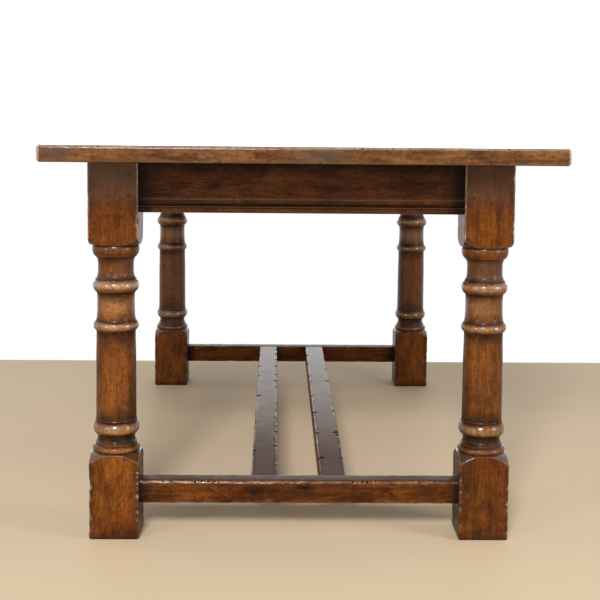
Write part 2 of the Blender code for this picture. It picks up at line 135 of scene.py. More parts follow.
# How finely a leg is turned: the height up to which a step holds, and the step
LEG_FIRST_STEP = 0.0006
LEG_LAST_STEP = 0.0010
LEG_STEPS = (
    (0.004, 0.0008), (TURNING[0][0], 0.0017), (0.234, 0.0009), (0.388, 0.0048), (0.428, 0.0009),
    (0.464, 0.0030), (0.508, 0.0009), (0.530, 0.0030), (TURNING[-1][0], 0.0009), (LEG_HEIGHT, 0.0022),
)
# How far the foot's lower edge is eased, across and in height
FOOT_EASING = 0.0042
FOOT_EASING_HEIGHT = 0.0050
# How much darker each leg is as a whole, on the back legs as painted shade, and how that varies with height
DARKER = {"leg_front_left": 0.0, "leg_front_right": 0.36, "leg_back_left": 0.34, "leg_back_right": 0.20}
DARKER_WEIGHTS = ((0.0, 2.3), (0.05, 1.8), (0.16, 1.6), (0.17, 1.0), (0.56, 1.0), (0.60, 0.3))
# How much a back leg's turning is dulled
BACK_LEG_FADED = 0.24
# Heights on a leg: where painted shade of the overhanging top begins on the head block, where a painted grey
# reflection begins to dull it, where a painted lit band on it is palest, below which it is darker, up to
# which the foot's inner side is painted in shade, and the neck's two ends
HEAD_SHADE_START = 0.682
HEAD_SHEEN_START = 0.646
HEAD_LIT_BAND = 0.660
HEAD_DARK_BELOW = 0.625
FOOT_INNER_SHADE = 0.160
NECK = (0.5000, 0.5405)
# Where wax and dust have darkened the turning: height of the middle, half height, strength
DARK_BANDS = (
    (0.1652, 0.0014, 0.85), (0.1775, 0.0010, 0.8), (0.1905, 0.0080, 0.95), (0.1990, 0.0010, 0.9),
    (0.2240, 0.0022, 0.95), (0.4186, 0.0016, 0.9), (0.4980, 0.0020, 0.9), (0.5636, 0.0012, 0.9),
    (0.3965, 0.0030, 0.95), (0.4725, 0.0020, 0.95), (0.5400, 0.0018, 0.9), (0.5560, 0.0070, 0.32),
)
# Where the darkness fades out slowly: height where it is full, height where it ends, strength
DARK_FADES = (
    (0.2270, 0.2680, 0.95), (0.3945, 0.3640, 0.97), (0.4200, 0.4340, 0.85), (0.4715, 0.4540, 0.95),
    (0.5010, 0.5180, 0.85), (0.5390, 0.5180, 0.95), (0.0000, 0.0340, 0.92), (0.0000, 0.0070, 1.00),
    (0.2140, 0.2050, 0.60), (0.4840, 0.4760, 0.60), (0.5490, 0.5420, 0.60), (0.4100, 0.4010, 0.40),
)
# Heights of the crests that hands and cloths have polished lighter, with their half heights and strengths;
# the wide band at 0.448 on the upper column is painted light
POLISHED_AND_LIT = (
    (0.1705, 0.004, 0.5), (0.2105, 0.009, 0.90), (0.4090, 0.0065, 1.0), (0.4875, 0.009, 1.0),
    (0.5560, 0.008, 0.35), (0.4480, 0.022, 0.80),
)
# Crests worn pale and painted with highlights: height, half height, strength
PALE_AND_LIT_CRESTS = (
    (0.2120, 0.0060, 0.16), (0.4100, 0.0045, 0.18), (0.4885, 0.0070, 0.42),
)
# Knocks on the arrises of the front legs: side, arris to left or right, height, depth, half height
LEG_KNOCKS = (
    ("left", 1, 0.1330, 0.0026, 0.0024), ("left", 1, 0.1245, 0.0032, 0.0016),
    ("left", 1, 0.1130, 0.0022, 0.0030), ("left", 1, 0.1010, 0.0010, 0.0018),
    ("left", 1, 0.0900, 0.0038, 0.0046), ("left", 1, 0.0790, 0.0008, 0.0018),
    ("left", 1, 0.0700, 0.0014, 0.0020), ("left", 1, 0.0580, 0.0024, 0.0034),
    ("left", 1, 0.0440, 0.0012, 0.0018), ("left", -1, 0.1080, 0.0040, 0.0060),
    ("left", -1, 0.0860, 0.0018, 0.0060), ("left", -1, 0.0460, 0.0020, 0.0050),
    ("right", 1, 0.0740, 0.0030, 0.0026), ("right", 1, 0.0620, 0.0022, 0.0018),
    ("right", 1, 0.0160, 0.0024, 0.0016), ("right", -1, 0.1240, 0.0020, 0.0050),
    ("right", -1, 0.0980, 0.0024, 0.0030), ("left", 1, 0.6120, 0.0036, 0.0055),
    ("right", 1, 0.7010, 0.0014, 0.0060),
)
# Small dents on each arris of a block: lowest and highest place, and how many
SMALL_KNOCKS = ((0.008, 0.138, 9), (0.590, 0.725, 3))
# Stains on the outward faces of the front legs: side, place across, height, half width, half height, strength
LEG_STAINS = (
    ("left", -0.0010, 0.0100, 0.0050, 0.0240, 1.0), ("left", 0.0330, 0.0880, 0.0050, 0.0080, 0.9),
    ("left", -0.0380, 0.0420, 0.0060, 0.0300, 0.7), ("left", 0.0330, 0.6250, 0.0090, 0.0300, 0.6),
    ("left", -0.0330, 0.6000, 0.0080, 0.0180, 0.5), ("left", 0.0260, 0.0200, 0.0120, 0.0180, 0.6),
    ("right", -0.0350, 0.7000, 0.0160, 0.0300, 0.7), ("right", 0.0100, 0.6990, 0.0300, 0.0220, 0.6),
    ("right", 0.0340, 0.0700, 0.0060, 0.0300, 0.5), ("right", -0.0100, 0.0150, 0.0200, 0.0140, 0.6),
    ("right", -0.0300, 0.6100, 0.0100, 0.0200, 0.5),
)
# Knots and stains on the outward side of a rail, a cleat and a cross stretcher: place across, height,
# half width, half height, strength
RAIL_STAINS = (
    (-0.163, 0.0530, 0.0160, 0.0090, 1.00), (-0.120, 0.0600, 0.0500, 0.0100, 0.40),
    (0.060, 0.0450, 0.0300, 0.0080, 0.45), (0.215, 0.0560, 0.0600, 0.0220, 0.50),
    (-0.240, 0.0560, 0.0300, 0.0140, 0.45),
)
CLEAT_STAINS = (
    (-0.0820, 0.0136, 0.0042, 0.0055, 1.0), (-0.0650, 0.0140, 0.0200, 0.0060, 0.40),
    (0.0250, 0.0150, 0.0520, 0.0120, 0.50), (-0.4150, 0.0170, 0.0300, 0.0120, 0.40),
    (-0.2300, 0.0080, 0.0500, 0.0050, 0.35), (0.2000, 0.0210, 0.0600, 0.0050, 0.35),
    (0.4000, 0.0080, 0.0500, 0.0050, 0.35), (0.0520, 0.0080, 0.0080, 0.0040, 0.6),
)
CROSS_STAINS = (
    (-0.0850, 0.0225, 0.0190, 0.0120, 1.00), (0.0100, 0.0335, 0.0320, 0.0075, 1.00),
    (-0.2680, 0.0200, 0.0360, 0.0300, 0.40), (0.0000, 0.0220, 0.0750, 0.0260, 0.42),
    (0.1150, 0.0200, 0.0500, 0.0200, 0.30), (0.2450, 0.0200, 0.0400, 0.0240, 0.35),
    (-0.1500, 0.0380, 0.0400, 0.0050, 0.30),
)
# Nicks cut into the arrises of the long stretchers: side, arris, place along the table, length, reach across
STRETCHER_NICKS = (
    ("left", -1, 0.021, 0.0120, 0.0140), ("left", -1, -0.470, 0.0170, 0.0090),
    ("left", -1, -0.500, 0.0100, 0.0060), ("left", -1, 0.246, 0.0080, 0.0060),
    ("left", -1, 0.372, 0.0080, 0.0050), ("left", -1, 0.522, 0.0090, 0.0060),
    ("left", -1, -0.250, 0.0070, 0.0040), ("left", 1, 0.602, 0.0100, 0.0080),
    ("left", 1, 0.539, 0.0110, 0.0080), ("left", 1, 0.457, 0.0100, 0.0070),
    ("left", 1, 0.370, 0.0090, 0.0080), ("left", 1, 0.261, 0.0080, 0.0060),
    ("left", 1, 0.188, 0.0110, 0.0100), ("left", 1, 0.111, 0.0080, 0.0070),
    ("left", 1, -0.061, 0.0070, 0.0070), ("left", 1, -0.133, 0.0070, 0.0060),
    ("left", 1, -0.202, 0.0070, 0.0080), ("left", 1, -0.274, 0.0070, 0.0080),
    ("left", 1, -0.321, 0.0090, 0.0070), ("left", 1, -0.439, 0.0070, 0.0120),
    ("left", 1, -0.580, 0.0060, 0.0050), ("right", -1, 0.522, 0.0110, 0.0080),
    ("right", -1, 0.243, 0.0080, 0.0050), ("right", -1, 0.178, 0.0070, 0.0050),
    ("right", -1, 0.024, 0.0080, 0.0060), ("right", -1, -0.145, 0.0090, 0.0110),
    ("right", -1, -0.332, 0.0080, 0.0110), ("right", -1, -0.528, 0.0090, 0.0150),
    ("right", -1, 0.400, 0.0080, 0.0050), ("right", 1, 0.335, 0.0100, 0.0060),
    ("right", 1, 0.188, 0.0100, 0.0110), ("right", 1, 0.015, 0.0080, 0.0060),
    ("right", 1, -0.056, 0.0100, 0.0070), ("right", 1, -0.133, 0.0080, 0.0070),
    ("right", 1, -0.325, 0.0130, 0.0150), ("right", 1, -0.348, 0.0080, 0.0100),
    ("right", 1, -0.404, 0.0110, 0.0060), ("right", 1, -0.459, 0.0090, 0.0060),
    ("right", 1, -0.525, 0.0100, 0.0060), ("right", 1, 0.480, 0.0100, 0.0060),
)
# Nicks along the upper outer arris of a cross stretcher: place across, length, depth
CROSS_NICKS = (
    (-0.262, 0.0060, 0.0042), (-0.246, 0.0040, 0.0026), (-0.206, 0.0040, 0.0030), (-0.200, 0.0060, 0.0042),
    (-0.194, 0.0044, 0.0030), (-0.188, 0.0070, 0.0046), (-0.181, 0.0050, 0.0034), (-0.175, 0.0070, 0.0048),
    (-0.168, 0.0044, 0.0030), (-0.163, 0.0060, 0.0044), (-0.155, 0.0040, 0.0028), (-0.118, 0.0040, 0.0022),
    (-0.072, 0.0050, 0.0026), (-0.031, 0.0040, 0.0022), (0.028, 0.0044, 0.0026), (0.064, 0.0036, 0.0022),
    (0.104, 0.0060, 0.0034), (0.113, 0.0044, 0.0028), (0.122, 0.0060, 0.0044), (0.131, 0.0064, 0.0046),
    (0.139, 0.0044, 0.0032), (0.146, 0.0050, 0.0036), (0.186, 0.0036, 0.0022), (0.232, 0.0050, 0.0030),
    (0.262, 0.0040, 0.0026),
)
# Nicks in the top's end: place across, 1 on the upper arris or -1 on the lower, length, depth
TOP_NICKS = (
    (-0.352, 1, 0.0070, 0.0040), (-0.373, -1, 0.0040, 0.0028), (-0.205, 1, 0.0050, 0.0026),
    (-0.150, 1, 0.0045, 0.0026), (-0.147, -1, 0.0050, 0.0036), (-0.132, 1, 0.0080, 0.0030),
    (0.026, -1, 0.0060, 0.0032), (0.098, 1, 0.0050, 0.0040), (0.150, 1, 0.0050, 0.0036),
    (0.232, 1, 0.0060, 0.0026), (0.318, -1, 0.0060, 0.0034), (0.348, 1, 0.0090, 0.0030),
)
# Dull places on the top's end: middle, half width
DULL_PLACES = ((0.025, 0.045), (-0.43, 0.035))
# How much lighter each board is than the cleats
BOARD_TONES = (1.32, 1.50, 1.24, 1.42)
# The seam between boards and cleats, and how far the finer top lies under the solids' upper face
BOARD_GAP = 0.0002
TOP_PLANED = 0.0003
# How far wear reaches in from a timber's faces, and how near to a face counts as on it
WEAR_REACH = 0.014
TOUCH = 0.0001

# How strong the painted highlight along the cross stretcher's upper arris is, drawn as pale wood, and how
# broken that line is, by place across
ARRIS_HIGHLIGHT = (
    (-0.31, 1.0), (-0.19, 1.0), (-0.17, 0.5), (-0.13, 0.32), (0.10, 0.28), (0.15, 0.40), (0.31, 0.22),
)
ARRIS_HIGHLIGHT_BREAKS = ((-0.19, 0.15), (-0.17, 0.9), (-0.13, 1.0))
ARRIS_HIGHLIGHT_GAP = -0.247
# How the long stretchers' upper side shines, is darkened with painted shade and dulled with a painted sheen,
# by place along the table
LONG_SHINE = ((-0.65, 0.0), (-0.25, 0.05), (0.65, 0.20))
LONG_SHADE = ((-0.65, 0.75), (-0.15, 0.25), (0.30, 0.0))
LONG_SHEEN = ((-0.65, 0.78), (0.0, 1.0))

# Heights above a rail's lower edge of its small bead, its groove and the fillet over them
RAIL_BEAD = 0.0117
RAIL_GROOVE = 0.0156
RAIL_FILLET = 0.0256
BEAD_STEPS = 8

# A peg's radius, how much of it is modelled, and its dome: how far in each step goes, and how far up
PEG_RADIUS = 0.0044
PEG_SHOWN = 0.020
PEG_DOME = ((0.0006, 0.00012), (0.0010, 0.00006), (0.0014, 0.00003))
# How much dust and painted sheen dull a peg, by its height, and the height above which it is darker,
# following the painted shade and sheen of the head block round it
PEG_SHEEN_BY_HEIGHT = ((0.12, 0.1), (0.65, 0.40), (0.69, 0.64), (0.74, 0.3))
PEG_SHADED_ABOVE = 0.69

# How far each button is turned from one on the front rail
BUTTONS = {
    "front": 0, "back": math.pi, "left_front": -math.pi / 2, "left_back": -math.pi / 2,
    "right_front": math.pi / 2, "right_back": math.pi / 2,
}
# Height of a button's tongue, the recess in it for a screw's head, and the slot in that head
TONGUE = 0.009
RECESS_RADIUS = 0.0048
RECESS_DEPTH = 0.0014
SCREW_SLOT = (0.010, 0.0009, 0.0024)

# Colours of oak under rubbed wax, which also paints light on the upper column; of pale bare oak, which also
# paints highlights; and of dust, which also paints sheen, on the wood and on the pegs
RUBBED_AND_LIT_OAK = (0.430, 0.215, 0.080)
PALE_OAK_AND_HIGHLIGHT = (0.540, 0.375, 0.275)
DUST_AND_SHEEN = (0.135, 0.088, 0.064)
PEG_DUST_AND_SHEEN = (0.120, 0.076, 0.054)
# Name of the wax's material at the bottom of the nicks
NICK_WAX = "nick_wax"

# How far the floor reaches: to the back, to the front and to each side
FLOOR_BACK, FLOOR_FRONT, FLOOR_SIDE = 0.965, -9.0, 9.0
# Where the camera stands, and how far it is turned, tipped down and rolled, in degrees
CAMERA_PLACE = (-0.0493, -3.0663, 0.8397)
CAMERA_TURNS = (1.108, 4.937, 0.529)
# Rays that see the room white
SEEN_BY = ("Camera", "Glossy", "Transmission")


class Lamp(NamedTuple):
    """A soft lamp. A spread below 180 degrees keeps its light off the floor beside it."""

    name: str
    where: tuple
    towards: tuple
    size: tuple
    power: str  # the stage setting that holds it
    spread: float
    mirrored: bool = True  # whether the wax shows its reflection


LAMPS = (
    Lamp("key", (-0.60, -4.68, 2.70), (0, -0.7, 0.3), (1.00, 0.80), "key", 95),
    Lamp("fill_left", (-3.20, -3.90, 1.30), (-0.2, -0.6, 0.4), (0.90, 1.30), "fill_left", 100),
    Lamp("fill_right", (2.60, -1.95, 1.15), (0.2, -0.6, 0.4), (0.70, 1.30), "fill_right", 100),
    Lamp("beside_left", (-2.75, 0.35, 0.85), (0, 0, 0.40), (1.30, 1.30), "beside", 110, False),
    Lamp("beside_right", (2.75, 0.35, 0.85), (0, 0, 0.40), (1.30, 1.30), "beside", 110, False),
    Lamp("behind", (0, 3.40, 0.78), (0, 0, 0.78), (5.00, 0.62), "behind", 180),
)


class TableSizes(bpy.types.PropertyGroup):
    """Sizes of the wear and of the edges that a user may change."""

    leg_columns: bpy.props.IntProperty(
        name="Leg columns", description="Faces round a turned leg, a multiple of 8",
        default=144, min=48, max=240,
    )
    leg_arris: bpy.props.FloatProperty(
        name="Leg arris", description="Radius of a leg block's worn arris", default=0.0034, unit="LENGTH"
    )
    stretcher_arris: bpy.props.FloatProperty(
        name="Stretcher arris", description="Radius of a stretcher's worn arris",
        default=0.0075, unit="LENGTH",
    )
    top_round: bpy.props.FloatProperty(
        name="Top edge", description="Radius of the top's rounded edge", default=0.0060, unit="LENGTH"
    )
    joint_ease: bpy.props.FloatProperty(
        name="Board joint", description="Easing of the arrises where boards meet",
        default=0.0007, unit="LENGTH",
    )
    wear: bpy.props.FloatProperty(
        name="Wear", description="How far worn surfaces wander from flat", default=0.0007, unit="LENGTH"
    )
    grid: bpy.props.FloatProperty(
        name="Grid", description="Largest face along a timber", default=0.0060, unit="LENGTH"
    )


class TableColours(bpy.types.PropertyGroup):
    """Colours of the stained oak, from its dark streaks to its polished places."""

    top: bpy.props.FloatVectorProperty(
        name="Top", description="Body colour of the top", subtype="COLOR", size=3,
        default=(0.134, 0.055, 0.0166),
    )
    leg: bpy.props.FloatVectorProperty(
        name="Legs", description="Body colour of the legs", subtype="COLOR", size=3,
        default=(0.172, 0.049, 0.0045),
    )
    rail: bpy.props.FloatVectorProperty(
        name="Rails", description="Body colour of the rails", subtype="COLOR", size=3,
        default=(0.107, 0.037, 0.0102),
    )
    stretcher: bpy.props.FloatVectorProperty(
        name="Stretchers", description="Body colour of the stretchers", subtype="COLOR", size=3,
        default=(0.105, 0.031, 0.0055),
    )
    # The dark wax colour also paints the shade that the masks hold
    wax: bpy.props.FloatVectorProperty(
        name="Dark wax", description="Old wax in the recesses", subtype="COLOR", size=3,
        default=(0.0130, 0.0058, 0.0030),
    )
    floor: bpy.props.FloatVectorProperty(
        name="Floor", description="Colour of the plain floor", subtype="COLOR", size=3,
        default=(0.790, 0.622, 0.415),
    )


class StageSettings(bpy.types.PropertyGroup):
    """Camera and studio light."""

    lens: bpy.props.FloatProperty(
        name="Lens", description="Focal length in millimetres", default=75.86, min=20, max=200
    )
    shift: bpy.props.FloatProperty(
        name="Shift", description="Vertical shift of the lens", default=-0.15, min=-0.5, max=0.5
    )
    key: bpy.props.FloatProperty(
        name="Key lamp", description="Power of the lamp above the camera", default=50.5, unit="POWER"
    )
    fill_left: bpy.props.FloatProperty(
        name="Left fill", description="Power of the low lamp at the left", default=10.4, unit="POWER"
    )
    fill_right: bpy.props.FloatProperty(
        name="Right fill", description="Power of the lamp at the right", default=8.5, unit="POWER"
    )
    beside: bpy.props.FloatProperty(
        name="Side lamps", description="Power of each lamp beside the table", default=3.4, unit="POWER"
    )
    behind: bpy.props.FloatProperty(
        name="Back lamp", description="Power of the wide lamp behind the table", default=20.0, unit="POWER"
    )
    world: bpy.props.FloatProperty(
        name="Room light", description="Strength of the light from all round", default=0.27, min=0, max=2
    )


# Selection and edit mode


def deselect_all():
    if bpy.context.object and bpy.context.object.mode != "OBJECT":
        bpy.ops.object.mode_set(mode="OBJECT")
    bpy.ops.object.select_all(action="DESELECT")


def work_on(piece):
    """Makes a piece the only selected and active one."""
    deselect_all()
    piece.select_set(True)
    bpy.context.view_layer.objects.active = piece


def pick(piece, kind, test):
    """In edit mode, selects only the edges or faces that a test accepts."""
    bpy.ops.mesh.select_mode(type="EDGE" if kind == "edges" else "FACE")
    bpy.ops.mesh.select_all(action="DESELECT")
    shape = bmesh.from_edit_mesh(piece.data)
    for part in getattr(shape, kind):
        if test(part):
            part.select_set(True)
    bmesh.update_edit_mesh(piece.data)


def along(edge, axis):
    """Whether an edge runs along an axis."""
    step = edge.verts[1].co - edge.verts[0].co
    return abs(step[axis]) > 0.999 * step.length


def cut_along(piece, axis, pitch):
    """Halves the edges that run along an axis until none is longer than a pitch."""
    while True:
        shape = bmesh.from_edit_mesh(piece.data)
        longest = max((e.calc_length() for e in shape.edges if along(e, axis)), default=0)
        if longest <= pitch:
            return
        halved = longest * 0.55
        pick(piece, "edges", lambda e: along(e, axis) and e.calc_length() > halved)
        bpy.ops.mesh.subdivide(number_cuts=1, smoothness=0)


def trace(name, points):
    """An open outline in the XZ plane: one vertex, extruded from point to point."""
    deselect_all()
    bpy.ops.mesh.primitive_plane_add(size=0.01, location=(0, 0, 0))
    piece = bpy.context.object
    piece.name = piece.data.name = name
    bpy.ops.object.mode_set(mode="EDIT")
    bpy.ops.mesh.select_mode(type="VERT")
    bpy.ops.mesh.select_all(action="SELECT")
    bpy.ops.mesh.merge(type="CENTER")
    here = Vector((0, 0, 0))
    for number, (out, height) in enumerate(points):
        step = Vector((out, 0, height)) - here
        here += step
        if number:
            bpy.ops.mesh.extrude_vertices_move(TRANSFORM_OT_translate={"value": step})
        else:
            bpy.ops.transform.translate(value=step)
    return piece


def finish_mesh(piece, angle=35):
    """Turns all faces outwards, leaves edit mode, and smooths the surface up to an angle."""
    bpy.ops.mesh.select_all(action="SELECT")
    bpy.ops.mesh.normals_make_consistent(inside=False)
    bpy.ops.object.mode_set(mode="OBJECT")
    work_on(piece)
    bpy.ops.object.shade_smooth_by_angle(angle=math.radians(angle))


def block(name, low, high):
    """A cube that fills the box between two corners, its place in its mesh."""
    deselect_all()
    low, high = Vector(low), Vector(high)
    bpy.ops.mesh.primitive_cube_add(size=1, location=(low + high) / 2, scale=high - low)
    piece = bpy.context.object
    piece.name = piece.data.name = name
    bpy.ops.object.transform_apply(location=True, rotation=True, scale=True)
    return piece


def lathe(name, outline, steps, angle):
    """Turns an outline, given as radii and heights, round the Z axis."""
    piece = trace(name, outline)
    bpy.ops.mesh.select_all(action="SELECT")
    bpy.ops.mesh.spin(steps=steps, angle=math.tau, center=(0, 0, 0), axis=(0, 0, 1))
    bpy.ops.mesh.select_all(action="SELECT")
    bpy.ops.mesh.remove_doubles(threshold=0.00002)
    finish_mesh(piece, angle)
    return piece


def points_of(piece):
    co = np.empty(len(piece.data.vertices) * 3, np.float32)
    piece.data.vertices.foreach_get("co", co)
    return co.reshape(-1, 3).astype(float)


def move_points(piece, co):
    piece.data.vertices.foreach_set("co", co.astype(np.float32).ravel())
    piece.data.update()


def wander(points, scale, seed=0.0):
    """Smooth noise from about -1 to 1 at each point, the same on every run."""
    shift = Vector((seed, 3.7 * seed, 0))
    scale = Vector(scale) if hasattr(scale, "__len__") else Vector((scale,) * 3)
    return np.array([noise.noise(Vector(p) * scale + shift) for p in points])


def graded(at, table):
    """A value at each place, read off a table of places and values."""
    return np.interp(at, *zip(*table))


def fade(distance, reach, start=1.0):
    """1 at a line or a face and 0 away from it; a start above 1 holds the 1 for longer."""
    return np.clip(start - distance / reach, 0, 1)


def strongest(*layers):
    """The highest of several masks at each point."""
    return reduce(np.maximum, layers)


def mask(piece, name, values):
    """Stores a mask, such as how dark with wax each point of a piece is, between 0 and 1."""
    layer = piece.data.attributes.get(name) or piece.data.attributes.new(name, "FLOAT", "POINT")
    layer.data.foreach_set("value", np.clip(values, 0, 1).astype(np.float32))


def stored(piece, name):
    """A mask as it was stored."""
    values = np.empty(len(piece.data.vertices), np.float32)
    piece.data.attributes[name].data.foreach_get("value", values)
    return values


def stain(piece, stains, facing, base=0.0):
    """Darkens spots on the side of a piece that faces along Y: 1 for its low side, -1 for its high side."""
    co = points_of(piece)
    depth = co[:, Y] * facing
    outer = depth < np.percentile(depth, 50)
    uneven = 1 + 0.35 * wander(co, 90.0, 3.3)
    layers = [stored(piece, "patina")]
    for across, height, wide, tall, strength in stains:
        away = ((co[:, X] * facing - across) / wide) ** 2 + ((co[:, Z] - base - height) / tall) ** 2
        layers.append(np.where(outer, strength * np.exp(-away * uneven), 0))
    mask(piece, "patina", strongest(*layers))


def copy_of(piece, name):
    made = piece.copy()
    made.data = piece.data.copy()
    made.name = made.data.name = name
    bpy.context.scene.collection.objects.link(made)
    return made


def place(piece, node, slot, *finishes):
    """Gives a piece its finishes, and stands it for the solid of the same place."""
    slots = piece.data.materials
    for number, finish in enumerate(finishes):
        if number < len(slots):
            slots[number] = finish
        else:
            slots.append(finish)
    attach(piece, ROOT)
    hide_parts(node)


def carve(piece, cutters):
    """Cuts shapes from a piece, all at once; the cut faces take the cutters' material slot."""
    before = points_of(piece)
    tools = bpy.data.collections.new(piece.name + "_cutters")
    for cutter in cutters:
        tools.objects.link(cutter)
    work_on(piece)
    step = piece.modifiers.new("cut", "BOOLEAN")
    step.operation = "DIFFERENCE"
    step.solver = "EXACT"
    step.operand_type = "COLLECTION"
    step.collection = tools
    step.material_mode = "INDEX"
    bpy.ops.object.modifier_apply(modifier=step.name)
    for cutter in cutters:
        bpy.data.objects.remove(cutter, do_unlink=True)
    bpy.data.collections.remove(tools)
    after = points_of(piece)
    # A cut that fails loses most of the points, or leaves a piece of another size
    if len(after) < len(before) * 0.9 or np.abs(np.ptp(after, 0) - np.ptp(before, 0)).max() > 0.004:
        raise RuntimeError("carving spoiled " + piece.name)


# Materials


class Sum:
    """A socket that Python's arithmetic works on; each operation adds a Math node."""

    def __init__(self, nodes, socket):
        self.nodes = nodes
        self.socket = socket

    def maths(self, operation, first, second, clamp=False):
        return self.nodes.node(
            "ShaderNodeMath", {"operation": operation, "use_clamp": clamp}, {0: first, 1: second}
        )

    def __add__(self, other):
        return self.maths("ADD", self, other)

    def __radd__(self, other):
        return self.maths("ADD", other, self)

    def __sub__(self, other):
        return self.maths("SUBTRACT", self, other)

    def __rsub__(self, other):
        return self.maths("SUBTRACT", other, self)

    def __mul__(self, other):
        return self.maths("MULTIPLY", self, other)

    def __rmul__(self, other):
        return self.maths("MULTIPLY", other, self)

    def clamped(self):
        return self.maths("ADD", self, 0, clamp=True)

    def between(self, low, high):
        """0 below one value, 1 above another, and a smooth step between them."""
        return self.nodes.node(
            "ShaderNodeMapRange",
            {"interpolation_type": "SMOOTHSTEP"},
            {"Value": self, "From Min": low, "From Max": high},
        )


class Nodes:
    """A node tree, filled node by node."""

    def __init__(self, tree):
        self.tree = tree

    def node(self, kind, settings=None, values=None, output=0):
        """Adds a node: first its settings, then the values or links of its sockets."""
        made = self.tree.nodes.new(kind)
        for name, value in (settings or {}).items():
            setattr(made, name, value)
        for name, value in (values or {}).items():
            self.feed(made.inputs[name], value)
        return Sum(self, made.outputs[output])

    def feed(self, socket, value):
        if isinstance(value, Sum):
            self.tree.links.new(value.socket, socket)
        elif socket.type == "RGBA":
            socket.default_value = (*value, 1.0)
        else:
            socket.default_value = value


class Shader(Nodes):
    """A new material and its nodes."""

    def __init__(self, name):
        self.material = bpy.data.materials.new(name)
        self.material.use_nodes = True
        super().__init__(self.material.node_tree)
        self.surface = self.tree.nodes["Principled BSDF"]

    def mix(self, first, second, share):
        """A colour part of the way from one to another."""
        return self.node("ShaderNodeMix", {"data_type": "RGBA"}, {0: share, 6: first, 7: second}, output=2)

    def place(self):
        """The place of a point, in the object's own metres."""
        return self.node("ShaderNodeTexCoord", output="Object")

    def mapped(self, place, stretch, shift=(0, 0, 0)):
        """A place with its axes stretched and shifted; the pattern is drawn out along the least stretched."""
        return self.node("ShaderNodeMapping", {}, {"Vector": place, "Location": shift, "Scale": stretch})

    def noise(self, place, scale, detail=2.0, roughness=0.5, distortion=0.0):
        values = {"Vector": place, "Scale": scale, "Detail": detail, "Roughness": roughness}
        return self.node("ShaderNodeTexNoise", {}, {**values, "Distortion": distortion})

    def bump(self, height, strength, distance, **under):
        """A bump from a height; under may name the Normal of another bump."""
        values = {"Strength": strength, "Distance": distance, "Height": height, **under}
        return self.node("ShaderNodeBump", {}, values)

    def attribute(self, name):
        return self.node("ShaderNodeAttribute", {"attribute_name": name}, output="Fac")

    def set(self, **values):
        """Sets the surface's own sockets; an underscore in a name stands for a space."""
        for name, value in values.items():
            self.feed(self.surface.inputs[name.replace("_", " ")], value)


def scaled(colour, by):
    """A colour made lighter or darker by one factor, or by one for each of its channels."""
    return tuple(c * b for c, b in zip(colour, by if hasattr(by, "__len__") else (by,) * 3))


class WoodFinish(NamedTuple):
    """How one kind of timber in the table is stained and waxed."""

    name: str
    axis: int  # the grain runs along it
    body: tuple  # its colour
    figure: float  # how strongly growth rings show
    gloss: float  # its least roughness
    coat: float  # roughness of the wax
    sheen: float  # wax on what faces up
    rough: float  # strength of its relief
    lustre: float  # shine of the bare wood


def stained_grain(s, kind, place, seed):
    """The colour of stained oak before any wear, and the noises that its relief and gloss follow."""
    draw_out = [1.0, 1.0, 1.0]
    draw_out[kind.axis] = 0.13
    grain = s.mapped(place, draw_out, (seed, seed * 2.3, seed * 0.7))
    draw_out[kind.axis] = 0.32
    fleck_place = s.mapped(place, draw_out, (seed * 1.7, seed, 0))
    # Growth rings: contour lines of a slow noise, so that flat-sawn faces show a cathedral figure
    slow = s.noise(grain, 12.0, detail=3.0, roughness=0.45, distortion=0.5)
    rings = s.node("ShaderNodeMath", {"operation": "FRACT"}, {0: slow * 12.0})
    late = (1 - rings.between(0.0, 0.7)) * rings.between(0.0, 0.06)
    streaks = s.noise(grain, 210.0, detail=4.0, roughness=0.62)
    flecks = s.noise(fleck_place, 300.0, detail=2.0, roughness=0.55)
    clouds = s.noise(place, 11.0, detail=4.0, roughness=0.55, distortion=0.5)
    blotch = s.noise(fleck_place, 40.0, detail=3.0, roughness=0.6, distortion=0.6)
    mottle = s.noise(place, 170.0, detail=3.0, roughness=0.65)
    pores = s.noise(grain, 900.0, detail=1.0)
    bands = s.noise(grain, 55.0, detail=2.0)

    light = scaled(kind.body, (1.65, 1.72, 1.60))
    deep = scaled(kind.body, (0.28, 0.24, 0.30))
    red = scaled(kind.body, (0.84, 0.58, 0.55))
    colour = scaled(kind.body, (0.90, 0.86, 0.88))
    for tone, share in (
        (light, streaks.between(0.38, 0.66) * 0.80),
        (light, bands.between(0.52, 0.66) * 0.40),
        (deep, (1 - bands.between(0.34, 0.46)) * 0.45),
        (red, clouds.between(0.50, 0.62) * 0.60),
        (light, (1 - clouds.between(0.36, 0.46)) * 0.55),
        (light, (1 - mottle.between(0.34, 0.46)) * 0.45),
        (deep, late * (0.36 * kind.figure)),
        (deep, blotch.between(0.52, 0.68) * 0.60),
        (deep, mottle.between(0.53, 0.68) * 0.45),
        (deep, flecks.between(0.55, 0.68) * 0.62),
        (scaled(deep, 0.5), pores.between(0.62, 0.70) * 0.45),
    ):
        colour = s.mix(colour, tone, share)
    return colour, streaks, flecks, clouds, pores


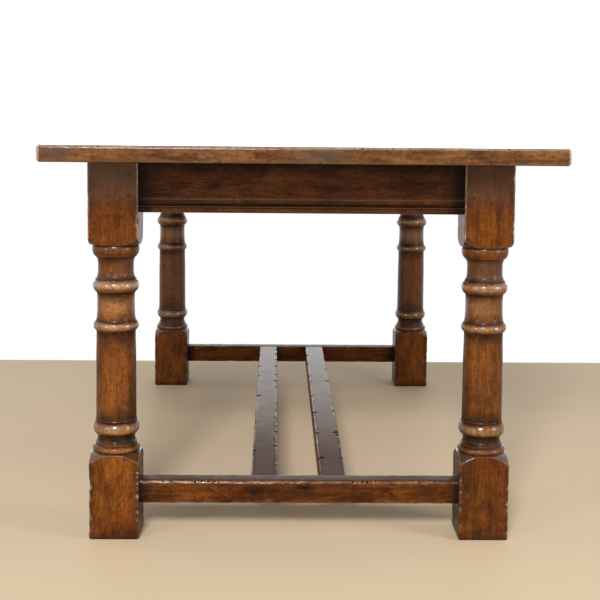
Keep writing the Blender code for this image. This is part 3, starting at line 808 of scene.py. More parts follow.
def oak(kind, wax, seed):
    """Stained, waxed oak with its grain along an axis.

    The masks on the mesh say where old wax and painted shade lie dark, where wax is polished (on the legs'
    upper column also painted lighter), where dust and a painted sheen dull it, and where an arris is worn
    to pale wood, which also paints highlights.
    """
    s = Shader(kind.name)
    place = s.place()
    colour, streaks, flecks, clouds, pores = stained_grain(s, kind, place, seed)

    patina = s.attribute("patina")
    polish = s.attribute("polish")
    smudge = s.noise(place, 90.0, detail=3.0, roughness=0.6)
    worn = s.noise(place, 190.0, detail=3.0, roughness=0.6)
    # Polished places are drawn lighter: rubbed wax, and painted light on the legs' upper column
    rubbed_and_lit = (polish * (0.58 + 0.42 * worn.between(0.34, 0.64))).clamped()
    colour = s.mix(colour, RUBBED_AND_LIT_OAK, rubbed_and_lit * rubbed_and_lit * 0.85)
    # Old wax, and painted shade where the masks hold it
    dark = (patina * (0.70 + 0.6 * smudge) - 0.1 * (1 - smudge)).clamped()
    colour = s.mix(colour, wax, dark)
    # Dust, and a painted sheen and reflection where the masks hold it
    colour = s.mix(colour, DUST_AND_SHEEN, (s.attribute("haze") * (0.6 + 0.7 * clouds)).clamped())
    # Pale worn wood, and painted highlights on arrises, crests and the rims of knocks
    pale_and_lit = s.attribute("pale")
    pale_and_lit = (pale_and_lit * (0.45 + 0.75 * worn.between(0.36, 0.60)) + (pale_and_lit - 0.6).clamped() * 1.5).clamped()
    colour = s.mix(colour, PALE_OAK_AND_HIGHLIGHT, pale_and_lit)

    relief = streaks * 0.30 - pores.between(0.60, 0.70) * 0.35 - flecks.between(0.56, 0.72) * 0.25
    ripple = s.noise(place, 70.0, detail=2.0, roughness=0.5)
    facing = s.node("ShaderNodeNewGeometry", output="Normal")
    upward = s.node("ShaderNodeSeparateXYZ", {}, {0: facing}, output="Z").between(0.3, 0.9)
    roughness = kind.gloss + 0.10 * smudge + 0.10 * flecks.between(0.5, 0.7) + 0.08 * dark - 0.08 * rubbed_and_lit
    s.set(
        Base_Color=colour,
        Roughness=roughness.clamped(),
        Normal=s.bump(ripple, kind.rough * 0.7, 0.0022, Normal=s.bump(relief, kind.rough, 0.0006)),
        Specular_IOR_Level=kind.lustre,
        Coat_Weight=(0.05 + kind.sheen * upward + 0.95 * polish - 0.25 * dark).clamped(),
        Coat_Roughness=kind.coat,
    )
    return s.material


def dark_wax(colour):
    """The bottom of a nick, filled with old wax."""
    s = Shader(NICK_WAX)
    grime = s.noise(s.place(), 600.0, detail=3.0)
    s.set(
        Base_Color=s.mix(colour, scaled(colour, 2.2), grime.between(0.4, 0.7)),
        Roughness=0.35 + 0.25 * grime,
        Normal=s.bump(grime, 0.5, 0.0004),
        Specular_IOR_Level=0.10,
        Coat_Weight=0.1,
        Coat_Roughness=0.2,
    )
    return s.material


def peg_end_grain():
    """Oak end grain; masks on the mesh darken and dull it as the wood round the peg is, painted shade
    included.
    """
    colours = bpy.context.scene.table_colours
    s = Shader("peg_end_grain")
    place = s.place()
    pores = s.noise(place, 1500.0, detail=3.0)
    clouds = s.noise(place, 200.0, detail=2.0)
    body = scaled(tuple(colours.leg), (0.80, 0.76, 0.80))
    colour = s.mix(scaled(body, 0.75), scaled(body, 1.1), clouds.between(0.35, 0.65))
    colour = s.mix(colour, scaled(body, 0.35), pores.between(0.52, 0.68) * 0.7)
    colour = s.mix(colour, tuple(colours.wax), s.attribute("patina"))
    s.set(
        Base_Color=s.mix(colour, PEG_DUST_AND_SHEEN, s.attribute("haze")),
        Roughness=0.34 + 0.2 * pores,
        Normal=s.bump(pores, 0.4, 0.0003),
        Specular_IOR_Level=0.12,
    )
    return s.material


def bare_oak():
    """Unstained oak of the buttons, dulled by age."""
    s = Shader("button_bare_oak")
    place = s.place()
    streaks = s.noise(s.mapped(place, (1.0, 0.12, 1.0)), 300.0, detail=4.0)
    clouds = s.noise(place, 60.0, detail=2.0)
    colour = s.mix((0.16, 0.085, 0.042), (0.27, 0.160, 0.085), streaks.between(0.35, 0.65))
    s.set(
        Base_Color=s.mix(colour, (0.11, 0.060, 0.032), clouds.between(0.5, 0.75) * 0.6),
        Roughness=0.55 + 0.2 * streaks,
        Normal=s.bump(streaks, 0.4, 0.0005),
    )
    return s.material


def dull_steel():
    """Steel of the screws, spotted with tarnish."""
    s = Shader("screw_dull_steel")
    tarnish = s.noise(s.place(), 500.0, detail=4.0)
    s.set(
        Base_Color=s.mix((0.34, 0.32, 0.29), (0.16, 0.10, 0.07), tarnish.between(0.5, 0.7)),
        Roughness=0.35 + 0.3 * tarnish,
        Metallic=1.0,
        Normal=s.bump(tarnish, 0.3, 0.0002),
    )
    return s.material


def floor_paint(colour):
    """Matt paint, a little uneven."""
    s = Shader("studio_floor")
    dust = s.noise(s.place(), 3.0, detail=3.0)
    s.set(
        Base_Color=s.mix(scaled(colour, 0.97), scaled(colour, 1.03), dust),
        Roughness=0.65,
        Specular_IOR_Level=0.2,
    )
    return s.material


def finishes():
    """The wood finishes by name, made the first time that they are asked for."""
    colours = bpy.context.scene.table_colours
    wax = tuple(colours.wax)
    kinds = [
        WoodFinish("oak_leg", Z, colours.leg, 0.6, 0.26, 0.15, 0.4, 0.50, 0.12),
        WoodFinish("oak_rail_across", X, colours.rail, 1.1, 0.34, 0.14, 0.7, 0.50, 0.12),
        WoodFinish("oak_rail_along", Y, colours.rail, 1.1, 0.34, 0.14, 0.7, 0.50, 0.12),
        WoodFinish("oak_stretcher_across", X, colours.stretcher, 0.8, 0.30, 0.10, 0.0, 0.30, 0.06),
        WoodFinish("oak_stretcher_along", Y, colours.stretcher, 0.8, 0.36, 0.13, 0.08, 0.12, 0.03),
    ]
    boards = [
        WoodFinish(f"oak_board_{number}", Y, scaled(colours.top, tone), 1.7, 0.20, 0.16, 1.0, 0.40, 0.12)
        for number, tone in enumerate(BOARD_TONES, 1)
    ]
    cleat = WoodFinish("oak_cleat", X, colours.top, 1.0, 0.20, 0.10, 1.0, 0.30, 0.12)
    made = {}
    for number, kind in enumerate([*kinds, boards[0], cleat, *boards[1:]]):
        kind = kind._replace(body=tuple(kind.body))
        made[kind.name] = bpy.data.materials.get(kind.name) or oak(kind, wax, number * 1.7)
    made["wax"] = bpy.data.materials.get(NICK_WAX) or dark_wax(scaled(wax, 0.8))
    return made


# Shapes that several pieces share


def rounded_square(across, half, arris):
    """How far from the middle a rounded square's side is, in the direction of each angle."""
    c, s = np.abs(np.cos(across)), np.abs(np.sin(across))
    c, s = np.maximum(c, s), np.minimum(c, s)
    flat = half / c
    inner = half - arris
    inside = np.maximum((inner * (c + s)) ** 2 - 2 * inner**2 + arris**2, 0)
    corner = inner * (c + s) + np.sqrt(inside)
    return np.where(flat * s <= inner, flat, corner)


def soft_least(first, second, blend):
    """The lesser of two values, rounded where they cross."""
    share = np.clip(0.5 + 0.5 * (second - first) / blend, 0, 1)
    return second + (first - second) * share - blend * share * (1 - share)


def rounding(share):
    """How much of its radius a rounded edge has fallen away, from 0 where it starts to 1 at its end."""
    return 1 - np.sqrt(np.maximum(1 - share**2, 0))


def timber(name, low, high, axis, arris, grid, across=0.008, segments=5, rounded=None):
    """A squared length of wood: a cube at its place, its arrises bevelled, then cut into a fine grid.

    rounded picks the edges to bevel; without it these are the four that run along the timber.
    """
    piece = block(name, low, high)
    bpy.ops.object.mode_set(mode="EDIT")
    pick(piece, "edges", rounded or (lambda e: along(e, axis)))
    bpy.ops.mesh.bevel(offset=arris, segments=segments, profile=0.5, affect="EDGES")
    cut_along(piece, axis, grid)
    for other in set(AXES) - {axis}:
        cut_along(piece, other, across)
    finish_mesh(piece)
    return piece


def edge_distance(co, low, high, axes):
    """Distance of each point from the nearest sharp arris of a box that runs along the third axis."""
    a, b = axes
    from_a = np.minimum(co[:, a] - low[a], high[a] - co[:, a])
    from_b = np.minimum(co[:, b] - low[b], high[b] - co[:, b])
    return np.hypot(from_a, from_b)


def batter(piece, low, high, axis, depth, seed, upright=1.0):
    """Wears a timber: its arrises wander inwards and its faces are slightly uneven."""
    a, b = sorted(set(AXES) - {axis})
    co = points_of(piece)
    near = fade(edge_distance(co, low, high, (a, b)), WEAR_REACH)
    knocks = wander(co, 46.0, seed) * 0.6 + wander(co, 130.0, seed + 5) * 0.4
    inward = depth * (np.clip(knocks + 0.25, 0, 1) * 2.0 * near + 0.22 * (wander(co, 18.0, seed + 9) + 0.5))
    inward = np.maximum(inward, 0)
    for n in (a, b):
        side = np.sign(co[:, n] - (low[n] + high[n]) / 2)
        from_face = np.minimum(co[:, n] - low[n], high[n] - co[:, n])
        co[:, n] -= side * inward * fade(from_face, WEAR_REACH) * (upright if n == Z else 1)
    move_points(piece, co)


def timber_masks(piece, low, high, axis, seed, ends=0.045, polish=0.9, dust=0.0, rim=0.006, haze=0.0):
    """Dark wax at a timber's two ends, polish along its arrises, and dust, painted shade and sheen on its
    upper side.
    """
    a, b = sorted(set(AXES) - {axis})
    co = points_of(piece)
    from_end = np.minimum(co[:, axis] - low[axis], high[axis] - co[:, axis])
    uneven = wander(co, 28.0, seed)
    distance = edge_distance(co, low, high, (a, b))
    # The upper face away from the arrises: dust and painted shade darken it, a painted sheen dulls it
    upper_face = np.clip((distance - 0.002) / 0.005, 0, 1) * (co[:, Z] > high.z - 0.002)
    patina = strongest(
        fade(from_end, ends * (1 + 0.5 * uneven), 1.15) ** 1.3,
        fade(distance, 0.012) * np.clip(uneven * 1.6, 0, 0.7),
        dust * upper_face * (0.85 + 0.3 * uneven),
    )
    mask(piece, "patina", patina)
    mask(piece, "haze", haze * upper_face * (1.0 + 0.25 * uneven))
    rim = rim * (1 + 0.8 * wander(co, 60.0, seed + 2))
    mask(piece, "polish", polish * fade(distance, rim, 1.15))


def nick(place, size, turn=(0, 0, 0)):
    """A slit-shaped cutter of the nick's length, width and depth."""
    deselect_all()
    bpy.ops.mesh.primitive_ico_sphere_add(subdivisions=2, radius=1)
    cutter = bpy.context.object
    turned = Euler(turn).to_matrix().to_4x4() @ Matrix.Diagonal((*size, 1))
    cutter.data.transform(Matrix.Translation(place) @ turned)
    return cutter


def carve_nicks(piece, cutters, wax):
    """Cuts all nicks of a piece at once; their faces get the second material slot, the wax."""
    for made in (piece, *cutters):
        made.data.materials.clear()
        made.data.materials.append(None)
        made.data.materials.append(wax)
    for cutter in cutters:
        cutter.data.polygons.foreach_set("material_index", [1] * len(cutter.data.polygons))
    carve(piece, cutters)


# Legs


def leg_outline():
    """The lathe's outline with short steps: fine on the members, and coarser on the long plain shafts."""
    heights, radii = zip(*TURNING)
    rows = [(0.0, 0.0), (BLANK_RADIUS, 0.0)]
    z = LEG_FIRST_STEP
    while z < LEG_HEIGHT - LEG_LAST_STEP:
        inside = heights[0] < z < heights[-1]
        rows.append((float(np.interp(z, heights, radii)) if inside else BLANK_RADIUS, z))
        z += next(step for top, step in LEG_STEPS if z < top)
    return rows + [(BLANK_RADIUS, LEG_HEIGHT), (0.0, LEG_HEIGHT)]


def turned_from(angle, turn):
    """How far each angle is from a turn, whichever way round is shorter."""
    return np.abs((angle - turn + math.pi) % math.tau - math.pi)


class LegWear(NamedTuple):
    """How one leg has worn."""

    seed: int
    knocks: list  # each is a turn round the leg, a height, a depth and a half height
    stains: list
    darker: float  # how much darker than the others the whole leg is
    side: int  # -1 on the left of the table, 1 on the right
    faded: float  # how much the turning is dulled


class LegSkin:
    """What the wear of a leg depends on, for each of its points."""

    def __init__(self, angle, z, radius, turned, square, seed):
        self.angle, self.z, self.radius = angle, z, radius
        self.turned, self.square = turned, square
        ring = np.stack([np.cos(angle) * 0.05, np.sin(angle) * 0.05, z], 1)
        self.uneven = wander(ring, (22, 22, 18), seed + 3)
        self.fine = wander(ring, (60, 60, 60), seed + 6)
        self.low_block = z < SHOULDER_LOW + SHOULDER_REACH
        self.high_block = z > SHOULDER_HIGH - SHOULDER_REACH
        self.block = self.low_block | self.high_block
        self.shoulder = (turned < square + 0.0004) & (turned > 0.0462) & self.block
        self.from_arris = np.abs((angle / EIGHTH_TURN) % 2 - 1) * EIGHTH_TURN * radius
        self.seam = np.where(self.block, fade(np.abs(turned - square), 0.0022), 0)
        self.neck = (z > NECK[0]) & (z < NECK[1])

    def away(self, turn):
        """Distance round the leg from a turn."""
        return turned_from(self.angle, turn) * self.radius


def square_blocks(piece, sizes, wear):
    """Planes the round blank square above and below the turning, and wears its arrises."""
    co = points_of(piece)
    z = co[:, Z]
    turned = np.hypot(co[:, X], co[:, Y])
    angle = np.arctan2(co[:, Y], co[:, X])
    # More columns near the arrises than in the middle of a face
    share = (angle / EIGHTH_TURN) % 2 - 1
    angle = angle - share * EIGHTH_TURN + np.sign(share) * np.abs(share) ** 1.5 * EIGHTH_TURN
    ring = np.stack([np.cos(angle) * 0.06, np.sin(angle) * 0.06, z], 1)
    worn = wander(ring, (11, 11, 30), wear.seed) * 0.6 + wander(ring, (11, 11, 95), wear.seed + 4) * 0.4
    arris = sizes.leg_arris * (1 + 0.9 * np.clip(worn, -0.6, 1))
    half = LEG_SQUARE / 2 - FOOT_EASING * rounding(fade(z, FOOT_EASING_HEIGHT + 0.0015 * worn))
    half = half - 0.00035 * np.clip(wander(ring, (9, 9, 14), wear.seed + 8) + 0.4, 0, 1.4)
    square = rounded_square(angle, half, arris)
    off_axis = turned > 0.001
    radius = np.where(off_axis, soft_least(turned, square, 0.0016), turned)
    for turn, height, depth, tall in wear.knocks:
        away = turned_from(angle, turn) * radius
        dent = np.exp(-((away / (0.0030 + 0.6 * depth)) ** 2) - ((z - height) / tall) ** 2)
        radius = radius - np.where(off_axis, depth * dent, 0)
    radius += np.where(off_axis, 0.00012 * wander(ring, (20, 20, 25), wear.seed + 2), 0)
    move_points(piece, np.stack([radius * np.cos(angle), radius * np.sin(angle), z], 1))
    skin = LegSkin(angle, z, radius, turned, square, wear.seed)
    mask(piece, "patina", leg_patina_and_shade(skin, wear))
    mask(piece, "haze", leg_dust_and_sheen(skin, wear))
    mask(piece, "pale", leg_pale_and_highlights(skin, wear))
    mask(piece, "polish", leg_polish(skin))
    stain(piece, wear.stains, 1)


def leg_patina_and_shade(skin, wear):
    """Old wax in quirks and on arrises; painted shade under the top, on the sides, inside the feet and on
    back legs.
    """
    z, uneven, fine, block = skin.z, skin.uneven, skin.fine, skin.block
    layers = []
    for middle, tall, strength in DARK_BANDS:
        away = np.abs(z + 0.0016 * uneven - middle)
        layers.append(strength * fade(away, tall * (1.15 + 0.35 * uneven), 1.75))
    for full, end, strength in DARK_FADES:
        share = np.clip((z - full) / (end - full) * (1 + 0.7 * uneven + 0.3 * fine), 0, 1)
        layers.append(np.where((z - full) * (end - full) >= 0, strength * (1 - share), 0))
    edge = fade(skin.from_arris, 0.016 + 0.010 * uneven)
    layers.append(np.where(block, edge * (0.58 + 0.20 * skin.low_block + 0.5 * fine), 0))
    layers.append(np.where(skin.shoulder, 0.72 + 0.25 * fine + 0.2 * skin.high_block, 0))
    layers.append(np.where(skin.shoulder, 0, 0.5 * fade(skin.turned - skin.square, 0.008) * block))
    # Painted shade of the overhanging top over the upper part of the head block
    shade_under_top = np.clip((z - HEAD_SHADE_START + 0.020 * uneven) / 0.030, 0, 1)
    layers.append(shade_under_top * (0.38 + 0.9 * wear.darker + 0.25 * fine))
    layers.append(np.where(skin.high_block & (z < HEAD_DARK_BELOW), 0.30 + 0.2 * uneven, 0))
    # Painted shade on the inner side of the foot block
    inner = (wear.side * np.cos(skin.angle) < -0.75) & (z < FOOT_INNER_SHADE)
    layers.append(np.where(inner, 0.82 + 0.2 * fine, 0))
    # Painted shade on the sides of the turning, which face away from the lamps
    shaded_sides = np.clip((np.abs(np.cos(skin.angle)) - 0.40) / 0.45, 0, 1)
    layers.append(np.where(block, 0, shaded_sides * (0.56 + 0.30 * fine)))
    layers.append(np.where(skin.neck, 0.38 + 0.5 * uneven, 0))
    for turn, height, depth, tall in wear.knocks:
        spot = np.exp(-((skin.away(turn) / (0.0026 + 0.6 * depth)) ** 2) - ((z - height) / tall) ** 2)
        layers.append(min(1.0, 0.25 + 240 * depth) * spot)
    # Each leg darker as a whole; on the back legs this is painted shade
    layers.append(wear.darker * graded(z, DARKER_WEIGHTS) * (0.8 + 0.5 * uneven + 0.3 * fine))
    return strongest(*layers)


def leg_dust_and_sheen(skin, wear):
    """Painted shade and grey reflection on the head's top, painted sheen on the foot's shoulders, dust on the
    neck.
    """
    uneven = skin.uneven
    return strongest(
        # Painted shade and grey reflection of the top on the head block's upper part
        np.clip((skin.z - HEAD_SHEEN_START + 0.025 * uneven) / 0.050, 0, 1) * (0.76 - wear.darker),
        np.where(skin.block, 0, wear.faded * (0.7 + 0.6 * uneven)),
        # Painted sheen on the foot's shoulders
        np.where(skin.shoulder & skin.low_block, 0.16 + 0.2 * uneven, 0),
        np.where(skin.neck, 0.15 + 0.2 * uneven, 0),
    )


def leg_pale_and_highlights(skin, wear):
    """Pale worn wood and painted highlights: head arrises, a lit band on the head, ring crests, knock-rim
    glints.
    """
    z, uneven, high_block = skin.z, skin.uneven, skin.high_block
    layers = [
        # Painted highlight lines, as pale worn wood, down the head block's arrises
        np.where(high_block & ~skin.shoulder, 0.48 * fade(skin.from_arris, 0.0012, 1.5) * (0.8 + uneven), 0),
        # A painted lit band across the head block, below the painted shade
        np.where(high_block, 0.10 * np.exp(-(((z - HEAD_LIT_BAND) / 0.018) ** 2)), 0),
    ]
    for middle, tall, strength in PALE_AND_LIT_CRESTS:
        crest = fade(np.abs(z - middle), tall, 1.4)
        layers.append(strength * (1 - 1.4 * wear.darker) * crest * (0.9 + 0.9 * uneven))
    # Painted glints on the lower rims of the deeper knocks
    for turn, height, depth, tall in wear.knocks:
        rim = np.exp(-((skin.away(turn) / 0.0022) ** 2) - ((z - height + 1.3 * tall) / (0.6 * tall)) ** 2)
        layers.append(min(0.9, max(0.0, 420 * (depth - 0.0011))) * rim)
    return strongest(*layers)


def leg_polish(skin):
    """Wax rubbed bright on the crests, on the shoulders and along the arrises, and painted light on the upper
    column.
    """
    polish = np.where(skin.block, 0, 0.22)
    for middle, tall, strength in POLISHED_AND_LIT:
        crest = np.clip(1.3 - np.abs(skin.z - middle) / tall, 0.22, 1)
        polish = np.maximum(polish, strength * crest)
    shine = np.where(skin.low_block, 0.58 + 0.5 * skin.fine, 0.95)
    arris = shine * fade(skin.from_arris, 0.0026, 1.3) + 0.05
    polish = np.where(skin.block & ~skin.shoulder, arris, polish)
    return np.where(skin.shoulder, 0.60 + 0.4 * skin.seam, np.maximum(polish, skin.seam))


class TABLE_OT_legs(bpy.types.Operator):
    """Turns one leg blank, and planes and wears a copy of it for each leg"""

    bl_idname = "table.legs"
    bl_label = "Legs"

    def execute(self, context):
        sizes = context.scene.table_sizes
        finish = finishes()["oak_leg"]
        blank = lathe("leg_blank", leg_outline(), sizes.leg_columns, 50)
        corners = [(end, y, side, x) for end, y in ENDS.items() for side, x in SIDES.items()]
        for number, (end, y, side, x) in enumerate(corners, 1):
            node = f"leg_{end}_{side}"
            leg = copy_of(blank, node + "_turned")
            square_blocks(leg, sizes, self.wear(node, end, side, x, 11 * number))
            leg.data.transform(Matrix.Translation((x * LEG_CENTRE.x, -y * LEG_CENTRE.y, 0)))
            place(leg, node, "leg_oak", finish)
        bpy.data.objects.remove(blank, do_unlink=True)
        return {"FINISHED"}

    def wear(self, node, end, side, x, seed):
        """The knocks and stains of a leg; a back leg has those of its front one, turned to the back."""
        knocks = [
            (-math.pi / 2 + arris * EIGHTH_TURN, height, depth, tall)
            for where, arris, height, depth, tall in LEG_KNOCKS
            if where == side
        ]
        if end == "back":
            knocks = [(-turn, height * 0.93, depth * 0.8, tall) for turn, height, depth, tall in knocks]
        stains = [spot[1:] for spot in LEG_STAINS if end == "front" and spot[0] == side]
        knocks += self.small_knocks(seed)
        return LegWear(seed, knocks, stains, DARKER[node], x, BACK_LEG_FADED if end == "back" else 0.0)

    def small_knocks(self, seed):
        """Small dents on all four arrises, most of them near the floor."""
        draw = random.Random(seed)
        made = []
        for quarter in range(4):
            turn = EIGHTH_TURN + quarter * math.pi / 2
            for low, high, count in SMALL_KNOCKS:
                for _ in range(count):
                    tall = draw.uniform(0.0012, 0.0045)
                    made.append((turn, draw.uniform(low, high), draw.uniform(0.0006, 0.0018), tall))
        return made


# Rails


def rail_section():
    """A rail's section: how far in from its face, and height above its lower edge."""
    back = 0.0280
    bead_low, bead_high, bead_seat, bead_crest = 0.0006, 0.0098, 0.0022, 0.0003
    points = [(back - 0.0002, 0.0000), (0.0040, 0.0000), (0.0030, 0.0003)]
    for step in range(BEAD_STEPS + 1):
        turn = math.pi * step / BEAD_STEPS
        inward = bead_seat + (bead_crest - bead_seat) * math.sin(turn)
        points.append((inward, bead_low + (bead_high - bead_low) * (1 - math.cos(turn)) / 2))
    points += [(0.0026, 0.0100), (0.0013, 0.0105), (0.0006, 0.0111), (0.0004, 0.0117), (0.0007, 0.0124)]
    points += [(0.0016, 0.0130), (0.0032, 0.0135), (0.0039, 0.0144), (0.0040, 0.0156), (0.0036, 0.0168)]
    points += [(0.0026, 0.0182), (0.0018, 0.0200), (0.0014, 0.0218), (0.0015, 0.0234)]
    points += [(0.0017, 0.0244), (0.0003, 0.0252), (0.0000, 0.0262)]
    points += [(0.0, 0.030 + 0.004 * n) for n in range(18)]
    top = RAIL_HIGH.z - RAIL_LOW.z
    points += [(0.0, top - 0.0008), (0.0008, top), (back - 0.0008, top), (back, top - 0.0008)]
    points += [(back, top - 0.008 - 0.012 * n) for n in range(8)]
    return points + [(back, 0.0006)]


def shape_rail(name, half_run):
    """A rail along X with its face towards -Y at y = 0: its section filled, then extruded."""
    piece = trace(name, rail_section())
    bpy.ops.mesh.select_all(action="SELECT")
    bpy.ops.mesh.edge_face_add()
    bpy.ops.transform.rotate(value=math.pi / 2, orient_axis="Z", center_override=(0, 0, 0))
    bpy.ops.mesh.select_all(action="SELECT")
    if sum(v.co.y for v in bmesh.from_edit_mesh(piece.data).verts) < 0:
        bpy.ops.transform.rotate(value=math.pi, orient_axis="Z", center_override=(0, 0, 0))
    bpy.ops.transform.translate(value=(-half_run, 0, 0))
    bpy.ops.mesh.extrude_region_move(TRANSFORM_OT_translate={"value": (2 * half_run, 0, 0)})
    cut_along(piece, X, 0.0065)
    finish_mesh(piece, 28)
    return piece


def rail_masks(piece, half_run, height, seed):
    """Dark wax at the rail's ends and in the groove, painted shade under the top, polish, and dust with
    painted sheen.
    """
    co = points_of(piece)
    depth, level = co[:, Y], co[:, Z]
    from_end = half_run - np.abs(co[:, X])
    from_bead, from_fillet = np.abs(level - RAIL_BEAD), np.abs(level - RAIL_FILLET)
    uneven = wander(co, 20.0, seed)
    patina = strongest(
        0.85 * fade(from_end, 0.066 * (1 + 0.5 * uneven), 1.15),
        1.25 * fade(from_end, 0.026, 1.5),
        # Painted shade under the overhanging top
        1.10 * fade(height - level, 0.032 + 0.012 * uneven, 1.25),
        np.where(depth < 0.005, fade(np.abs(level - RAIL_GROOVE), 0.0028, 1.5) * (0.85 + 0.3 * uneven), 0),
        0.45 * np.clip(uneven * 1.8 - 0.2, 0, 1),
    )
    mask(piece, "patina", patina)
    edge = fade(from_fillet, 0.0016) + fade(from_bead, 0.0014, 1.2) + fade(level, 0.002)
    mask(piece, "polish", np.where(depth < 0.004, 0.75 * edge, 0))
    # Painted sheen on the crests of the bead and the fillet
    crest = fade(from_bead, 0.0011, 1.3) + 0.6 * fade(from_fillet, 0.0012, 1.2)
    mask(piece, "haze", np.where(depth < 0.004, crest * (0.75 + 0.5 * uneven), 0))


class TABLE_OT_rails(bpy.types.Operator):
    """Extrudes the moulded rails and cuts the slots for the buttons"""

    bl_idname = "table.rails"
    bl_label = "Rails"

    def execute(self, context):
        made = finishes()
        seed = 100
        for name, run in (("end_rail", END_HALF_RUN), ("side_rail", SIDE_HALF_RUN)):
            across = name == "end_rail"
            for where, sign in (ENDS if across else SIDES).items():
                seed += 7
                node = f"{name}_{where}"
                rail = shape_rail(node + "_moulded", run)
                co = points_of(rail)
                co[:, Y] += 0.00025 * wander(co, (6, 30, 30), seed)
                move_points(rail, co)
                rail_masks(rail, run, RAIL_HIGH.z - RAIL_LOW.z, seed)
                stain(rail, RAIL_STAINS if across else RAIL_STAINS[1:3], 1)
                rail.data.transform(self.stand(node, across, sign))
                for button in BUTTONS:
                    if button.startswith(where):
                        cut_slot(rail, button)
                place(rail, node, "rail_oak", made["oak_rail_across" if across else "oak_rail_along"])
        return {"FINISHED"}

    def stand(self, node, across, sign):
        """Where a rail stands: turned so that its moulded face looks outwards."""
        low, high = corner_of(node)
        outer = high if sign > 0 else low
        if across:
            shift, turn = (0, outer.y, low.z), math.pi if sign > 0 else 0
        else:
            shift, turn = (outer.x, 0, low.z), sign * math.pi / 2
        return Matrix.Translation(shift) @ Matrix.Rotation(turn, 4, "Z")


def cut_slot(rail, button):
    """A slot in a rail's inner side, with a little room round the tongue of a button."""
    low, high = corner_of("button_" + button)
    across = X if button in ENDS else Y
    low[across] -= 0.003
    high[across] += 0.003
    high.z = low.z + 0.0095
    low.z -= 0.0004
    rail.data.materials.clear()
    carve(rail, [block("slot_cutter", low, high)])


# Stretchers


class TABLE_OT_stretchers(bpy.types.Operator):
    """Shapes the low stretchers, rounds and batters their arrises, and cuts the nicks"""

    bl_idname = "table.stretchers"
    bl_label = "Stretchers"

    def execute(self, context):
        sizes = context.scene.table_sizes
        made = finishes()
        for number, (end, y) in enumerate(ENDS.items()):
            self.shape_cross(f"cross_stretcher_{end}", y, number, sizes, made)
        for number, side in enumerate(SIDES):
            self.shape_long(f"long_stretcher_{side}", side, number, sizes, made)
        return {"FINISHED"}

    def shape_cross(self, node, y, number, sizes, made):
        low, high = corner_of(node)
        low.x, high.x = -END_HALF_RUN, END_HALF_RUN
        piece = timber(node + "_worn", low, high, X, sizes.stretcher_arris, sizes.grid * 0.8, segments=6)
        batter(piece, low, high, X, sizes.wear, 31 + number)
        outer = low.y if y < 0 else high.y
        cutters = [self.cross_nick(*cut, y, outer, high.z) for cut in CROSS_NICKS]
        carve_nicks(piece, cutters, made["wax"])
        timber_masks(piece, low, high, X, 60 + number, ends=0.034, dust=0.5, haze=0.30)
        stain(piece, CROSS_STAINS, -y, low.z)
        self.arris_highlight(piece, y, outer, high.z)
        place(piece, node, "stretcher_oak", made["oak_stretcher_across"], made["wax"])

    def cross_nick(self, across, length, depth, y, outer, top):
        """A nick in the upper outer arris, turned a little differently at each place."""
        inset = 0.0030 + 0.0012 * math.sin(across * 700)
        sway, swing, twist = (math.sin(across * pace) for pace in (410, 530, 90))
        size = (length * 0.30, depth, depth * 0.62)
        turn = (0.7 * y + 0.5 * sway, 0.4 * swing, 0.9 * twist)
        return nick((-y * across, outer - y * inset, top - 0.0026), size, turn)

    def arris_highlight(self, piece, y, outer, top):
        """Paints a highlight along the upper outer arris as pale wood, strongest near one leg."""
        co = points_of(piece)
        across = -y * co[:, X]
        from_arris = np.hypot(np.abs(co[:, Y] - outer) - 0.0018, (top - co[:, Z]) - 0.0022)
        broken = graded(across, ARRIS_HIGHLIGHT_BREAKS) * wander(co, (40, 40, 40), 5.0 + y)
        highlight_line = fade(from_arris, 0.0017, 1.35) * (1.0 + broken)
        gap = np.exp(-(((across - ARRIS_HIGHLIGHT_GAP) / 0.006) ** 2))
        mask(piece, "pale", graded(across, ARRIS_HIGHLIGHT) * highlight_line * (1 - gap))

    def shape_long(self, node, side, number, sizes, made):
        low, high = corner_of(node)
        reach = -corner_of("cross_stretcher_front")[1].y + INTO_CROSS
        low.y, high.y = -reach, reach
        arris, grid = sizes.stretcher_arris * 0.6, sizes.grid * 1.4
        piece = timber(node + "_worn", low, high, Y, arris, grid, across=0.010, segments=4)
        batter(piece, low, high, Y, sizes.wear, 41 + number)
        cutters = [self.long_nick(*cut[1:], low, high) for cut in STRETCHER_NICKS if cut[0] == side]
        carve_nicks(piece, cutters, made["wax"])
        timber_masks(piece, low, high, Y, 70 + number, ends=0.012, dust=0.40, haze=0.58)
        self.shine_and_shade_along(piece, low, high)
        place(piece, node, "stretcher_oak", made["oak_stretcher_along"], made["wax"])

    def long_nick(self, arris, along_table, length, reach, low, high):
        """A nick that reaches in from an upper arris; those towards the back are cut longer."""
        size = (reach * 1.15 + 0.001, length * (0.80 + 0.7 * max(0, along_table)), 0.0026 + 0.30 * reach)
        turn = (0.6 * math.sin(along_table * 50), 0.25 * arris, arris * 0.5 * math.sin(along_table * 37))
        return nick((low.x if arris < 0 else high.x, along_table, high.z + 0.0002), size, turn)

    def shine_and_shade_along(self, piece, low, high):
        """Painted shade on the upper side towards the front, more shine to the back, highlight lines on the
        arrises.
        """
        co = points_of(piece)
        distance = edge_distance(co, low, high, (X, Z))
        upper = (co[:, Z] > high.z - 0.002) & (distance > 0.003)
        shine = graded(co[:, Y], LONG_SHINE)
        mask(piece, "polish", np.where(upper, shine, fade(distance, 0.0034, 1.15)))
        # Painted highlight lines along the upper arrises, as pale wood
        worn = 0.42 * fade(distance, 0.0024, 1.3) * (co[:, Z] > high.z - 0.004)
        mask(piece, "pale", worn * (0.9 + 1.1 * wander(co, (60, 14, 60), 8.0)))
        # Painted shade on the upper side, strongest at the front
        grime = np.where(upper, graded(co[:, Y], LONG_SHADE), 0)
        mask(piece, "patina", strongest(stored(piece, "patina"), grime))
        mask(piece, "haze", stored(piece, "haze") * graded(co[:, Y], LONG_SHEEN))


# Top


